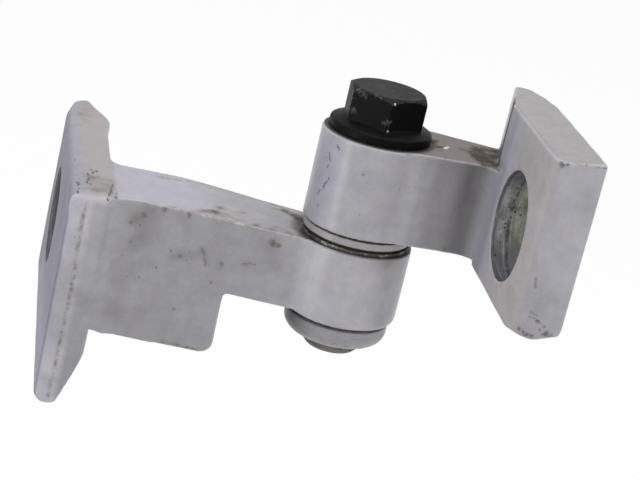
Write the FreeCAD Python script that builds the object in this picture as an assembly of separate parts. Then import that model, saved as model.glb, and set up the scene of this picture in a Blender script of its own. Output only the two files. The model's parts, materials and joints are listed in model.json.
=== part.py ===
import FreeCAD, Part
import math
import os

# Car door hinge of two forged steel leaves on a lift-off pin. Millimetres.
# +X points away from the pillar, +Z is up along the hinge pin.
# The origin is the centre of the pillar bolt hole on the pillar mounting face.

# Hinge pin axis, measured from the pillar bolt hole
PIN_OUT = 59.4
PIN_SIDE = 40.5

# Heights along the pin, from the bottom up
LOWER_KNUCKLE_BOTTOM = 3.2
LOWER_KNUCKLE_HEIGHT = 16.8
BUSH_FLANGE_THICKNESS = 0.6
END_BUSH_FLANGE_THICKNESS = 0.5
END_PLAY = 0.06
COLLAR_THICKNESS = 2.55
UPPER_KNUCKLE_HEIGHT = 19.6
END_RING_THICKNESS = 4.9
PIN_END_LENGTH = 2.4

# Knuckles, collar and end ring
LOWER_KNUCKLE_R = 12.0
UPPER_KNUCKLE_R = 11.8
LOWER_KNUCKLE_ROUND = 1.6
UPPER_KNUCKLE_ROUND = 0.7
COLLAR_R = 11.25
COLLAR_CHAMFER = 0.6
END_RING_R = 11.0
END_RING_ROUND = 3.2
SMALL_EDGE = 0.3

# Pin, bushes and their clearances
JOURNAL_R = 6.0
UPPER_SEAT_R = 8.0
BUSH_WALL = 1.0
BUSH_FLANGE_R = 11.35
END_BUSH_FLANGE_R = 9.6
RUNNING_CLEARANCE = 0.03
SEAT_CLEARANCE = 0.02
PIN_TOP_RECESS = 1.2
PIN_END_CHAMFER = 0.7

# Flange bolt that holds the door leaf on the pin
BOLT_R = 5.0
BOLT_LENGTH = 16.0
BOLT_FLANGE_R = 10.65
BOLT_FLANGE_EDGE = 1.8
BOLT_FLANGE_ROUND = 0.6
BOLT_FLANGE_RISE = 1.2
BOLT_FLANGE_CONE_INSET = 1.0
BOLT_ACROSS_FLATS = 15.3
BOLT_HEAD_HEIGHT = 9.4
BOLT_HEAD_CHAMFER_DEG = 28.0
BOLT_HEAD_CORNER_R = 0.4
BOLT_TOP_FACE_SHARE = 0.95
BOLT_TURN_DEG = 26.0
THREAD_CLEARANCE = 0.05
TAPPED_HOLE_EXTRA = 2.0

# Pillar leaf: mounting flange
FLANGE_THICKNESS = 9.0
FLANGE_FRONT = 41.5
FLANGE_BACK = 29.5
FLANGE_ABOVE = 20.8
FLANGE_BELOW = 30.5
FLANGE_BOTTOM_RISE = 7.0
FLANGE_FRONT_SETBACK = 6.5
FLANGE_FRONT_BEND = 4.0
FLANGE_FRONT_BEND_R = 40.0
FLANGE_TOP_ROUND = 2.4
FLANGE_RIM_THICKNESS = 2.8
FLANGE_RIM_INSET = 1.8
FLANGE_RIM_ROUND = 1.5
FLANGE_RIM_INNER_R = 5.0
FLANGE_RIM_BOTTOM_R = 1.0
FLANGE_RIM_BACK_R = 4.0
FLANGE_RIM_INNER_TAPER = 13.0
FLANGE_RIM_BOTTOM_TAPER = 2.4
FLANGE_RIM_BACK_TAPER = 7.0
FLANGE_BACK_SLANT = 7.0
FLANGE_CORNER_BELOW = 8.0
FLANGE_CORNER_R = 10.0
FLANGE_TOP_CORNER_R = 2.0
FLANGE_FRONT_ROUND = 2.4
FLANGE_TRIM_DEPTH = 0.35
FLANGE_TRIM_START = 2.6
FLANGE_TRIM_BEYOND = 0.3
FLANGE_TRIM_FRONT = 3.6
FLANGE_TRIM_END_FLAT = 0.2

# Pillar leaf: arm
ARM_SLANT_DEG = 13.0
ARM_FRONT_OFFSET = 8.9
ARM_BACK_OFFSET = 7.1
ARM_BACK_FLARE = 3.9
ARM_FLARE_AT = 38.0
ARM_FLARE_R = 40.0
ARM_THIN_DEPTH = 15.7
ARM_DEEP_DEPTH = 29.1
ARM_DEEP_SLOPE = 0.04
ARM_STEP_AT = 23.9
ARM_STEP_CORNER_R = 2.6
ARM_STEP_ROOT_R = 1.0
ARM_STEP_DRAFT_DEG = 4.0
ARM_FRONT_BLEND_START = 6.0
ARM_FRONT_BLEND_END = 13.0
ARM_FRONT_BLEND_R = 8.0
ARM_BACK_ROOT_R = 3.6
KNUCKLE_BLEND_R = 8.0

# Door leaf, drawn with its mounting face square to its own X axis
DOOR_SWING_DEG = -1.7
DOOR_FACE_OUT = 33.0
DOOR_BLOCK_THICKNESS = 9.8
DOOR_BLOCK_FRONT = 45.5
DOOR_BLOCK_BACK = 6.2
DOOR_BLOCK_BOTTOM = 21.8
DOOR_BLOCK_HEIGHT = 34.3
DOOR_BLOCK_FRONT_R = 2.8
DOOR_BLOCK_BACK_R = 8.0
DOOR_BLOCK_BACK_RUN = 6.2
DOOR_BLOCK_BACK_EDGE = 3.4
DOOR_BLOCK_BACK_CUT = 4.0
DOOR_BLOCK_CUT_START = 1.0
DOOR_BLOCK_CORNER_R = 2.0
DOOR_BLOCK_BOTTOM_R = 1.3
DOOR_BLOCK_LOW_FRONT_R = 2.6
DOOR_BLOCK_TOP_R = 0.7
DOOR_ARM_FRONT_OFFSET = 10.5
DOOR_ARM_BACK_TAPER_DEG = 17.6
DOOR_ARM_ROOT_R = 5.0
DOOR_KNUCKLE_BLEND_R = 16.0

# Bolt hole in each leaf, stepped where the bolt head sits
BOLT_HOLE_R = 10.3
BOLT_HOLE_MOUTH_R = 10.75
BOLT_HOLE_MOUTH_DEPTH = 3.2
BOLT_HOLE_CHAMFER = 0.4
DOOR_HOLE_SIDE = 26.4
DOOR_HOLE_HEIGHT = 36.3

# How far a cutting tool runs past the face that it cuts
OVERRUN = 2.0

UP = FreeCAD.Vector(0, 0, 1)
ALONG_X = FreeCAD.Vector(1, 0, 0)
PIN_FOOT = FreeCAD.Vector(PIN_OUT, -PIN_SIDE, 0)

lower_top = LOWER_KNUCKLE_BOTTOM + LOWER_KNUCKLE_HEIGHT
collar_bottom = lower_top + BUSH_FLANGE_THICKNESS + END_PLAY
upper_bottom = collar_bottom + COLLAR_THICKNESS
upper_top = upper_bottom + UPPER_KNUCKLE_HEIGHT
end_ring_top = LOWER_KNUCKLE_BOTTOM - END_BUSH_FLANGE_THICKNESS - END_PLAY
end_ring_bottom = end_ring_top - END_RING_THICKNESS
pin_bottom = end_ring_bottom - PIN_END_LENGTH
pin_top = upper_top - PIN_TOP_RECESS
bush_inner_r = JOURNAL_R + RUNNING_CLEARANCE
bush_outer_r = bush_inner_r + BUSH_WALL


def flat(a, b):
    """Point of a plan outline."""
    return FreeCAD.Vector(a, b, 0)


def side(a, b):
    """Point of an outline drawn in the XZ plane."""
    return FreeCAD.Vector(a, 0, b)


def facing(a, b):
    """Point of an outline drawn in the YZ plane."""
    return FreeCAD.Vector(0, a, b)


def outline(corners, place):
    """Flat face through corners (a, b, radius), each corner rounded by its radius."""
    edges = []
    last_end = None
    first_start = None
    for index, (a, b, radius) in enumerate(corners):
        here = place(a, b)
        before = place(*corners[index - 1][:2])
        after = place(*corners[(index + 1) % len(corners)][:2])
        start = here
        end = here
        arc = None
        if radius > 0:
            back = (before - here).normalize()
            ahead = (after - here).normalize()
            half = back.getAngle(ahead) / 2
            start = here + back * (radius / math.tan(half))
            end = here + ahead * (radius / math.tan(half))
            inward = (back + ahead).normalize()
            middle = here + inward * (radius / math.sin(half) - radius)
            arc = Part.Arc(start, middle, end).toShape()
        if last_end is not None:
            edges.append(Part.makeLine(last_end, start))
        if arc is not None:
            edges.append(arc)
        if first_start is None:
            first_start = start
        last_end = end
    edges.append(Part.makeLine(last_end, first_start))
    return Part.Face(Part.Wire(edges))


def plan_prism(corners, bottom, top):
    """Plan outline raised from one height to another."""
    face = outline(corners, flat)
    face.translate(UP * bottom)
    return face.extrude(UP * (top - bottom))


def turned(radius, bottom, top):
    """Upright cylinder centred on Z."""
    return Part.makeCylinder(radius, top - bottom, UP * bottom)


def circle_edges(shape, radius, height):
    """Horizontal circular edges of one radius at one height."""
    found = []
    for edge in shape.Edges:
        curve = edge.Curve
        if isinstance(curve, Part.Circle) and abs(curve.Radius - radius) < 0.01:
            if abs(edge.BoundBox.ZMin - height) < 0.01 and abs(edge.BoundBox.ZMax - height) < 0.01:
                found.append(edge)
    return found


def knuckle_blend(knuckle_r, offset, blend_r, direction, bottom, top):
    """Hollow corner between a knuckle on the Z axis and a flat side of its arm.

    The side lies at y = offset and runs towards x = direction times infinity.
    """
    sign = 1 if offset > 0 else -1
    reach = math.sqrt((knuckle_r + blend_r) ** 2 - (abs(offset) + blend_r) ** 2)
    centre = flat(direction * reach, offset + sign * blend_r)
    on_side = flat(direction * reach, offset)
    on_knuckle = centre * (knuckle_r / (knuckle_r + blend_r))
    towards_middle = ((on_side - centre) + (on_knuckle - centre)).normalize()
    middle = centre + towards_middle * blend_r
    inside = flat(0, 0)
    edges = [
        Part.Arc(on_side, middle, on_knuckle).toShape(),
        Part.makeLine(on_knuckle, inside),
        Part.makeLine(inside, on_side),
    ]
    face = Part.Face(Part.Wire(edges))
    face.translate(UP * bottom)
    return face.extrude(UP * (top - bottom))


def stepped_bolt_hole(face_x, thickness, head_side):
    """Tool for the bolt hole: bore on the mounting side, wider mouth on the head side.

    face_x is the mounting face, and head_side is +1 or -1 along X.
    """
    away = ALONG_X * head_side
    start = ALONG_X * face_x - away * OVERRUN
    bore = Part.makeCylinder(BOLT_HOLE_R, thickness + 2 * OVERRUN, start, away)
    mouth_start = ALONG_X * face_x + away * (thickness - BOLT_HOLE_MOUTH_DEPTH)
    mouth = Part.makeCylinder(BOLT_HOLE_MOUTH_R, BOLT_HOLE_MOUTH_DEPTH + OVERRUN, mouth_start, away)
    rim = ALONG_X * face_x + away * (thickness - BOLT_HOLE_CHAMFER)
    flare = Part.makeCone(
        BOLT_HOLE_MOUTH_R,
        BOLT_HOLE_MOUTH_R + BOLT_HOLE_CHAMFER + OVERRUN,
        BOLT_HOLE_CHAMFER + OVERRUN,
        rim,
        away,
    )
    return bore.fuse([mouth, flare])


def flange_outline():
    """Outline of the mounting flange, seen along X."""
    return outline(
        [
            (-FLANGE_FRONT, FLANGE_ABOVE, FLANGE_FRONT_ROUND),
            (FLANGE_BACK - FLANGE_BACK_SLANT, FLANGE_ABOVE, FLANGE_TOP_CORNER_R),
            (FLANGE_BACK, -FLANGE_CORNER_BELOW, FLANGE_CORNER_R),
            (FLANGE_BACK, -FLANGE_BELOW + FLANGE_BOTTOM_RISE, FLANGE_CORNER_R),
            (-FLANGE_FRONT + FLANGE_FRONT_SETBACK, -FLANGE_BELOW, FLANGE_FRONT_ROUND),
            (-FLANGE_FRONT, FLANGE_FRONT_BEND, FLANGE_FRONT_BEND_R),
        ],
        facing,
    )


def pillar_flange():
    """Plate that lies on the pillar, drawn out to a rounded rim at its back and bottom."""
    thick = FLANGE_THICKNESS
    top = FLANGE_ABOVE
    rim_inner = FLANGE_RIM_INSET + FLANGE_RIM_THICKNESS
    plate = flange_outline().extrude(ALONG_X * thick)

    # Section through the bottom rim, swept along the sloping bottom edge
    low = -FLANGE_BELOW
    bottom_section = outline(
        [
            (0, top + FLANGE_BELOW, FLANGE_TOP_ROUND),
            (thick, top + FLANGE_BELOW, 0),
            (thick, low + FLANGE_RIM_INNER_TAPER, FLANGE_RIM_INNER_R),
            (rim_inner, low, FLANGE_RIM_ROUND),
            (FLANGE_RIM_INSET, low, FLANGE_RIM_ROUND),
            (0, low + FLANGE_RIM_BOTTOM_TAPER, FLANGE_RIM_BOTTOM_R),
        ],
        side,
    )
    length = FLANGE_FRONT + FLANGE_BACK
    bottom_section.translate(FreeCAD.Vector(0, -FLANGE_FRONT, 0))
    sweep = FreeCAD.Vector(0, length, FLANGE_BOTTOM_RISE)
    bottom_section.translate(sweep * -0.1)
    plate = plate.common(bottom_section.extrude(sweep * 1.2))

    # Section through the top edge, swept along Y
    top_section = outline(
        [
            (0, top, FLANGE_TOP_ROUND),
            (thick, top, SMALL_EDGE),
            (thick, low - OVERRUN, 0),
            (0, low - OVERRUN, 0),
        ],
        side,
    )
    top_section.translate(FreeCAD.Vector(0, -FLANGE_FRONT - OVERRUN, 0))
    plate = plate.common(top_section.extrude(FreeCAD.Vector(0, length + 2 * OVERRUN, 0)))

    # Section through the back rim, swept down the slanted edge and then straight down
    height = FLANGE_ABOVE + FLANGE_CORNER_BELOW
    for back, sweep in (
        (FLANGE_BACK - FLANGE_BACK_SLANT, FreeCAD.Vector(0, FLANGE_BACK_SLANT, -height)),
        (FLANGE_BACK, FreeCAD.Vector(0, 0, -height)),
    ):
        back_section = outline(
            [
                (0, -FLANGE_FRONT - 2 * length, 0),
                (thick, -FLANGE_FRONT - 2 * length, 0),
                (thick, back - FLANGE_RIM_INNER_TAPER, FLANGE_RIM_INNER_R),
                (rim_inner, back, FLANGE_RIM_ROUND),
                (FLANGE_RIM_INSET, back, FLANGE_RIM_ROUND),
                (0, back - FLANGE_RIM_BACK_TAPER, FLANGE_RIM_BACK_R),
            ],
            flat,
        )
        back_section.translate(UP * top - sweep * 0.5)
        plate = plate.common(back_section.extrude(sweep * 3))

    # Rounded front edges, down the straight part and then down the part that bends back
    bend_height = FLANGE_FRONT_BEND + FLANGE_BELOW
    front_section = outline(
        [
            (0, -FLANGE_FRONT, SMALL_EDGE),
            (thick, -FLANGE_FRONT, FLANGE_FRONT_ROUND),
            (thick, FLANGE_BACK + length, 0),
            (0, FLANGE_BACK + length, 0),
        ],
        flat,
    )
    front_section.translate(UP * FLANGE_FRONT_BEND)
    for sweep in (
        FreeCAD.Vector(0, 0, -bend_height),
        FreeCAD.Vector(0, FLANGE_FRONT_SETBACK, -bend_height),
    ):
        section = front_section.copy()
        section.translate(sweep * -2)
        plate = plate.common(section.extrude(sweep * 4))
    return plate


def pillar_arm():
    """Arm from the flange to the lower knuckle, deep at the flange end."""
    slant = math.radians(ARM_SLANT_DEG)
    along = flat(-math.cos(slant), math.sin(slant))
    across = flat(math.sin(slant), math.cos(slant))

    def on_arm(reach, offset):
        """Plan point at a reach from the pin towards the pillar and an offset across."""
        point = PIN_FOOT + along * reach + across * offset
        return point.x, point.y

    def reach_at(x, offset):
        """Reach at which a line along the arm crosses one x."""
        return (PIN_OUT - x + offset * math.sin(slant)) / math.cos(slant)

    front = -ARM_FRONT_OFFSET
    back = ARM_BACK_OFFSET + ARM_BACK_FLARE
    front_end = on_arm(reach_at(ARM_FRONT_BLEND_END, front), front)
    back_end = on_arm(reach_at(FLANGE_THICKNESS, back), back)
    inside_x = FLANGE_THICKNESS / 2
    low = lower_top - ARM_DEEP_DEPTH - OVERRUN * 2
    plan = plan_prism(
        [
            (*on_arm(reach_at(inside_x, front), front), 0),
            (*on_arm(0, front), 0),
            (*on_arm(0, ARM_BACK_OFFSET), 0),
            (*on_arm(ARM_FLARE_AT, back), ARM_FLARE_R),
            (*back_end, ARM_BACK_ROOT_R),
            (FLANGE_THICKNESS, back_end[1] + 2 * ARM_BACK_ROOT_R, 0),
            (inside_x, back_end[1] + 2 * ARM_BACK_ROOT_R, 0),
        ],
        low,
        lower_top,
    )

    # Hollow corner between the flange's front and the arm's front
    beyond_x = ARM_FRONT_BLEND_END + ARM_FRONT_BLEND_R
    front_blend = plan_prism(
        [
            (inside_x, -FLANGE_FRONT, 0),
            (ARM_FRONT_BLEND_START, -FLANGE_FRONT, FLANGE_FRONT_ROUND),
            (*front_end, ARM_FRONT_BLEND_R),
            (*on_arm(reach_at(beyond_x, front), front), 0),
            (*on_arm(reach_at(beyond_x, 0), 0), 0),
            (*on_arm(reach_at(inside_x, 0), 0), 0),
        ],
        low,
        lower_top,
    )
    front_blend = front_blend.common(flange_outline().extrude(ALONG_X * (beyond_x + OVERRUN)))

    # Side view of the arm, drawn at the pin and turned by the slant
    far = PIN_OUT / math.cos(slant) + FLANGE_FRONT * math.sin(slant)
    thin_z = lower_top - ARM_THIN_DEPTH
    deep_z = lower_top - ARM_DEEP_DEPTH
    far_z = deep_z - (far - ARM_STEP_AT) * ARM_DEEP_SLOPE
    side_view = outline(
        [
            (LOWER_KNUCKLE_R, lower_top, 0),
            (LOWER_KNUCKLE_R, thin_z, 0),
            (-ARM_STEP_AT, thin_z, ARM_STEP_ROOT_R),
            (-ARM_STEP_AT, deep_z, ARM_STEP_CORNER_R),
            (-far, far_z, 0),
            (-far, lower_top, 0),
        ],
        side,
    )
    half_width = FLANGE_FRONT + FLANGE_BACK
    draft = math.tan(math.radians(ARM_STEP_DRAFT_DEG))
    side_view.translate(FreeCAD.Vector(0, -ARM_FRONT_OFFSET, 0))
    sweep = FreeCAD.Vector(-2 * half_width * draft, 2 * half_width, 0)
    side_view.translate(sweep * -0.5)
    profile = side_view.extrude(sweep)
    profile.rotate(FreeCAD.Vector(), UP, -ARM_SLANT_DEG)
    profile.translate(PIN_FOOT)
    arm = plan.fuse(front_blend).common(profile)

    blends = []
    for offset in (front, ARM_BACK_OFFSET):
        patch = knuckle_blend(LOWER_KNUCKLE_R, offset, KNUCKLE_BLEND_R, -1, thin_z, lower_top)
        patch.rotate(FreeCAD.Vector(), UP, -ARM_SLANT_DEG)
        patch.translate(PIN_FOOT)
        blends.append(patch)
    return arm.fuse(blends)


def pillar_leaf():
    """Forging that bolts to the pillar and carries the lower knuckle."""
    knuckle = turned(LOWER_KNUCKLE_R, LOWER_KNUCKLE_BOTTOM, lower_top)
    knuckle = knuckle.makeFillet(
        LOWER_KNUCKLE_ROUND,
        circle_edges(knuckle, LOWER_KNUCKLE_R, LOWER_KNUCKLE_BOTTOM),
    )
    knuckle.translate(PIN_FOOT)
    leaf = pillar_flange().fuse([pillar_arm(), knuckle])

    bush_seat = turned(bush_outer_r, LOWER_KNUCKLE_BOTTOM - OVERRUN, lower_top + OVERRUN)
    bush_seat.translate(PIN_FOOT)

    # Shallow trimmed land along the top of the flange, ending in a rounded lip
    trim_inner = FLANGE_THICKNESS + FLANGE_TRIM_BEYOND
    trim_r = (trim_inner - FLANGE_TRIM_START - FLANGE_TRIM_END_FLAT) / 2
    trim_front = -FLANGE_FRONT + FLANGE_TRIM_FRONT
    trim = plan_prism(
        [
            (FLANGE_TRIM_START, trim_front, trim_r),
            (trim_inner, trim_front, trim_r),
            (trim_inner, FLANGE_BACK + OVERRUN, 0),
            (FLANGE_TRIM_START, FLANGE_BACK + OVERRUN, 0),
        ],
        FLANGE_ABOVE - FLANGE_TRIM_DEPTH,
        FLANGE_ABOVE + OVERRUN,
    )
    hole = stepped_bolt_hole(0, FLANGE_THICKNESS, 1)
    return leaf.cut([bush_seat, trim, hole]).removeSplitter()


def door_block():
    """Thick plate of the door leaf, with the corner behind its arm cut back."""
    inner_x = DOOR_FACE_OUT - DOOR_BLOCK_THICKNESS
    bottom = DOOR_BLOCK_BOTTOM
    top = DOOR_BLOCK_BOTTOM + DOOR_BLOCK_HEIGHT
    cut_x = inner_x + DOOR_BLOCK_BACK_CUT
    block = plan_prism(
        [
            (inner_x, -DOOR_BLOCK_FRONT, DOOR_BLOCK_FRONT_R),
            (DOOR_FACE_OUT, -DOOR_BLOCK_FRONT, 0),
            (DOOR_FACE_OUT, DOOR_BLOCK_BACK - DOOR_BLOCK_BACK_RUN, DOOR_BLOCK_BACK_R),
            (cut_x + DOOR_BLOCK_BACK_EDGE, DOOR_BLOCK_BACK, DOOR_BLOCK_CORNER_R),
            (cut_x, DOOR_BLOCK_BACK, SMALL_EDGE),
            (inner_x, DOOR_BLOCK_CUT_START - DOOR_ARM_FRONT_OFFSET, DOOR_BLOCK_CORNER_R),
        ],
        bottom,
        top,
    )

    # Rounded edges along the bottom and along the top of the face with the hole
    across = outline(
        [
            (inner_x, bottom, DOOR_BLOCK_BOTTOM_R),
            (DOOR_FACE_OUT, bottom, 0),
            (DOOR_FACE_OUT, top, 0),
            (inner_x, top, DOOR_BLOCK_TOP_R),
        ],
        side,
    )
    length = DOOR_BLOCK_FRONT + DOOR_BLOCK_BACK
    across.translate(FreeCAD.Vector(0, -DOOR_BLOCK_FRONT - OVERRUN, 0))
    block = block.common(across.extrude(FreeCAD.Vector(0, length + 2 * OVERRUN, 0)))
    lengthwise = outline(
        [
            (-DOOR_BLOCK_FRONT, bottom, DOOR_BLOCK_LOW_FRONT_R),
            (DOOR_BLOCK_BACK, bottom, DOOR_BLOCK_BOTTOM_R),
            (DOOR_BLOCK_BACK, top, 0),
            (-DOOR_BLOCK_FRONT, top, SMALL_EDGE),
        ],
        facing,
    )
    return block.common(lengthwise.extrude(ALONG_X * (DOOR_FACE_OUT + OVERRUN)))


def door_arm():
    """Arm from the upper knuckle to the block, with a hollow corner to the block's face."""
    inner_x = DOOR_FACE_OUT - DOOR_BLOCK_THICKNESS
    inside_x = DOOR_FACE_OUT - DOOR_BLOCK_THICKNESS / 3
    front = -DOOR_ARM_FRONT_OFFSET
    taper = math.radians(DOOR_ARM_BACK_TAPER_DEG)
    touch = flat(math.sin(taper), math.cos(taper)) * UPPER_KNUCKLE_R
    back_x = inner_x + DOOR_BLOCK_BACK_CUT
    back_y = touch.y - (back_x - touch.x) * math.tan(taper)
    arm = plan_prism(
        [
            (0, front, 0),
            (inner_x, front, DOOR_ARM_ROOT_R),
            (inner_x, front - 2 * DOOR_ARM_ROOT_R, 0),
            (inside_x, front - 2 * DOOR_ARM_ROOT_R, 0),
            (inside_x, back_y, 0),
            (back_x, back_y, 0),
            (touch.x, touch.y, 0),
            (0, 0, 0),
        ],
        upper_bottom,
        upper_top,
    )
    patch = knuckle_blend(
        UPPER_KNUCKLE_R, front, DOOR_KNUCKLE_BLEND_R, 1, upper_bottom, upper_top
    )
    return arm.fuse(patch)


def to_rest_pose(shape):
    """Turn a door-side shape, drawn on the Z axis, to its place on the pin."""
    shape.rotate(FreeCAD.Vector(), UP, DOOR_SWING_DEG)
    shape.translate(PIN_FOOT)
    return shape


def door_leaf():
    """Forging that bolts to the door and carries the upper knuckle."""
    knuckle = turned(UPPER_KNUCKLE_R, upper_bottom, upper_top)
    knuckle = knuckle.makeFillet(
        UPPER_KNUCKLE_ROUND, circle_edges(knuckle, UPPER_KNUCKLE_R, upper_top)
    )
    leaf = door_block().fuse([door_arm(), knuckle])
    pin_seat = turned(UPPER_SEAT_R + SEAT_CLEARANCE, upper_bottom - OVERRUN, upper_top + OVERRUN)
    hole = stepped_bolt_hole(DOOR_FACE_OUT, DOOR_BLOCK_THICKNESS, -1)
    hole.translate(FreeCAD.Vector(0, -DOOR_HOLE_SIDE, DOOR_HOLE_HEIGHT))
    leaf = leaf.cut([pin_seat, hole]).removeSplitter()
    return to_rest_pose(leaf)


def hinge_pin():
    """Stepped pin: journal, collar, seat for the upper knuckle and a tapped hole."""
    journal = turned(JOURNAL_R, pin_bottom, collar_bottom)
    journal = journal.makeChamfer(PIN_END_CHAMFER, circle_edges(journal, JOURNAL_R, pin_bottom))
    collar = turned(COLLAR_R, collar_bottom, upper_bottom)
    collar = collar.makeChamfer(
        COLLAR_CHAMFER,
        circle_edges(collar, COLLAR_R, collar_bottom) + circle_edges(collar, COLLAR_R, upper_bottom),
    )
    seat = turned(UPPER_SEAT_R, upper_bottom, pin_top)
    seat = seat.makeChamfer(SMALL_EDGE, circle_edges(seat, UPPER_SEAT_R, pin_top))
    tapped_bottom = upper_top - BOLT_LENGTH - TAPPED_HOLE_EXTRA
    tapped = turned(BOLT_R + THREAD_CLEARANCE, tapped_bottom, pin_top + OVERRUN)
    pin = journal.fuse([collar, seat]).cut(tapped)
    return to_rest_pose(pin.removeSplitter())


def flanged_bush(flange_r, flange_bottom, flange_top, sleeve_bottom, sleeve_top):
    """Thin flanged sleeve in the lower knuckle."""
    flange = turned(flange_r, flange_bottom, flange_top)
    sleeve = turned(bush_outer_r, sleeve_bottom, sleeve_top)
    bore = turned(bush_inner_r, flange_bottom - OVERRUN, sleeve_top + OVERRUN)
    if sleeve_bottom < flange_bottom:
        bore = turned(bush_inner_r, sleeve_bottom - OVERRUN, flange_top + OVERRUN)
    bush = flange.fuse(sleeve).cut(bore).removeSplitter()
    bush.translate(PIN_FOOT)
    return bush


def upper_bush():
    """Bush pressed in from the top, whose flange carries the collar."""
    middle = LOWER_KNUCKLE_BOTTOM + LOWER_KNUCKLE_HEIGHT / 2
    flange_top = lower_top + BUSH_FLANGE_THICKNESS
    return flanged_bush(BUSH_FLANGE_R, lower_top, flange_top, middle + END_PLAY, lower_top)


def lower_bush():
    """Bush pressed in from below, whose flange rides on the end ring."""
    middle = LOWER_KNUCKLE_BOTTOM + LOWER_KNUCKLE_HEIGHT / 2
    flange_bottom = LOWER_KNUCKLE_BOTTOM - END_BUSH_FLANGE_THICKNESS
    return flanged_bush(
        END_BUSH_FLANGE_R,
        flange_bottom,
        LOWER_KNUCKLE_BOTTOM,
        LOWER_KNUCKLE_BOTTOM,
        middle - END_PLAY,
    )


def end_ring():
    """Thick ring pressed on the pin's lower end."""
    ring = turned(END_RING_R, end_ring_bottom, end_ring_top)
    ring = ring.makeFillet(END_RING_ROUND, circle_edges(ring, END_RING_R, end_ring_bottom))
    ring = ring.makeChamfer(SMALL_EDGE, circle_edges(ring, END_RING_R, end_ring_top))
    bore = turned(JOURNAL_R + SEAT_CLEARANCE, end_ring_bottom - OVERRUN, end_ring_top + OVERRUN)
    return to_rest_pose(ring.cut(bore))


def pin_bolt():
    """Hexagon flange bolt screwed into the top of the pin."""
    shank = turned(BOLT_R, upper_top - BOLT_LENGTH, upper_top)
    edge_top = upper_top + BOLT_FLANGE_EDGE
    rim = turned(BOLT_FLANGE_R, upper_top, edge_top)
    rim = rim.makeFillet(SMALL_EDGE, circle_edges(rim, BOLT_FLANGE_R, upper_top))
    corner_r = BOLT_ACROSS_FLATS / math.sqrt(3)
    cone_top_r = corner_r - BOLT_FLANGE_CONE_INSET
    cone = Part.makeCone(BOLT_FLANGE_R, cone_top_r, BOLT_FLANGE_RISE, UP * edge_top)
    flange = rim.fuse(cone).removeSplitter()
    flange = flange.makeFillet(BOLT_FLANGE_ROUND, circle_edges(flange, BOLT_FLANGE_R, edge_top))

    head_top = upper_top + BOLT_HEAD_HEIGHT
    corners = []
    for step in range(6):
        angle = math.radians(60 * step + BOLT_TURN_DEG)
        corners.append(
            (corner_r * math.cos(angle), corner_r * math.sin(angle), BOLT_HEAD_CORNER_R)
        )
    head = plan_prism(corners, edge_top, head_top)

    # The cone that bevels the corners of the hexagon at its top
    flat_top_r = BOLT_ACROSS_FLATS / 2 * BOLT_TOP_FACE_SHARE
    spread = BOLT_HEAD_HEIGHT / math.tan(math.radians(BOLT_HEAD_CHAMFER_DEG))
    bevel = Part.makeCone(
        flat_top_r + spread, flat_top_r, BOLT_HEAD_HEIGHT, UP * (head_top - BOLT_HEAD_HEIGHT)
    )
    head = head.common(bevel)
    return to_rest_pose(flange.fuse([head, shank]).removeSplitter())


PARTS = {
    "pillar_leaf": pillar_leaf,
    "door_leaf": door_leaf,
    "hinge_pin": hinge_pin,
    "upper_bush": upper_bush,
    "lower_bush": lower_bush,
    "end_ring": end_ring,
    "pin_bolt": pin_bolt,
}

os.makedirs("parts", exist_ok=True)
for name, make in PARTS.items():
    shape = make()
    shape.exportStep(f"parts/{name}.step")
    print(name, "solids", len(shape.Solids), "valid", shape.isValid(), "volume", round(shape.Volume, 1))
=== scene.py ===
import json
import math

import bmesh
import bpy
import numpy as np
from mathutils import Matrix, Vector, noise


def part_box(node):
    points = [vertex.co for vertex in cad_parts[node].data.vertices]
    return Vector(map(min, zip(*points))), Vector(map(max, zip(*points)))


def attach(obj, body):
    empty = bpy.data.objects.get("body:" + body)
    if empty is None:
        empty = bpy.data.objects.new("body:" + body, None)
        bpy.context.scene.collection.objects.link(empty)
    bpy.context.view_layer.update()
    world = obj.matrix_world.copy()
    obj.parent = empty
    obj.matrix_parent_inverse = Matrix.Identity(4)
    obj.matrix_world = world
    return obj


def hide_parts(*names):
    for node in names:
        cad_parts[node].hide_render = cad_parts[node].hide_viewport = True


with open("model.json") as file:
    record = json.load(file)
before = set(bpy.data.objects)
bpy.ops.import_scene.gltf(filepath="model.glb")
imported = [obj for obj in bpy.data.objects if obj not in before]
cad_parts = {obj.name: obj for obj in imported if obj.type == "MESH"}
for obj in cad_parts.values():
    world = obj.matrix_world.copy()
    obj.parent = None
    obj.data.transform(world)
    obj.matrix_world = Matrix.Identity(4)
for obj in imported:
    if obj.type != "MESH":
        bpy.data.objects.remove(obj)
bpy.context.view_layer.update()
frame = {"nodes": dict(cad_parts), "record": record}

MM = 0.001

record = frame["record"]
mounts = {m["name"]: m for m in record["mounts"]}
joint = record["behaviour"]["joints"][0]
PIN = Vector(joint["pos_m"])

# Sizes that the frame gives
pillar_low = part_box("pillar_leaf")[0]
ring_low, ring_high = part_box("end_ring")
top_bush_low, top_bush_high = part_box("upper_bush")
low_bush_low, low_bush_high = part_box("lower_bush")
bolt_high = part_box("pin_bolt")[1]

door_mount, pillar_mount = mounts["door_bolt_hole"], mounts["pillar_bolt_hole"]
door_hole, door_axis = Vector(door_mount["pos_m"]), Vector(door_mount["axis"])
pillar_hole, pillar_axis = Vector(pillar_mount["pos_m"]), Vector(pillar_mount["axis"])
bolt_hole_r = door_mount["dims"]["r_mm"] * MM
bolt_hole_length = door_mount["dims"]["length_mm"] * MM

# Sizes that it doesn't give
BLOCK_THICKNESS = 9.8 * MM
END_PLAY = 0.06 * MM
COLLAR_THICKNESS = 2.55 * MM
bolt_hole_back = -BLOCK_THICKNESS
collar_low = top_bush_high.z + END_PLAY
collar_high = collar_low + COLLAR_THICKNESS

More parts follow.
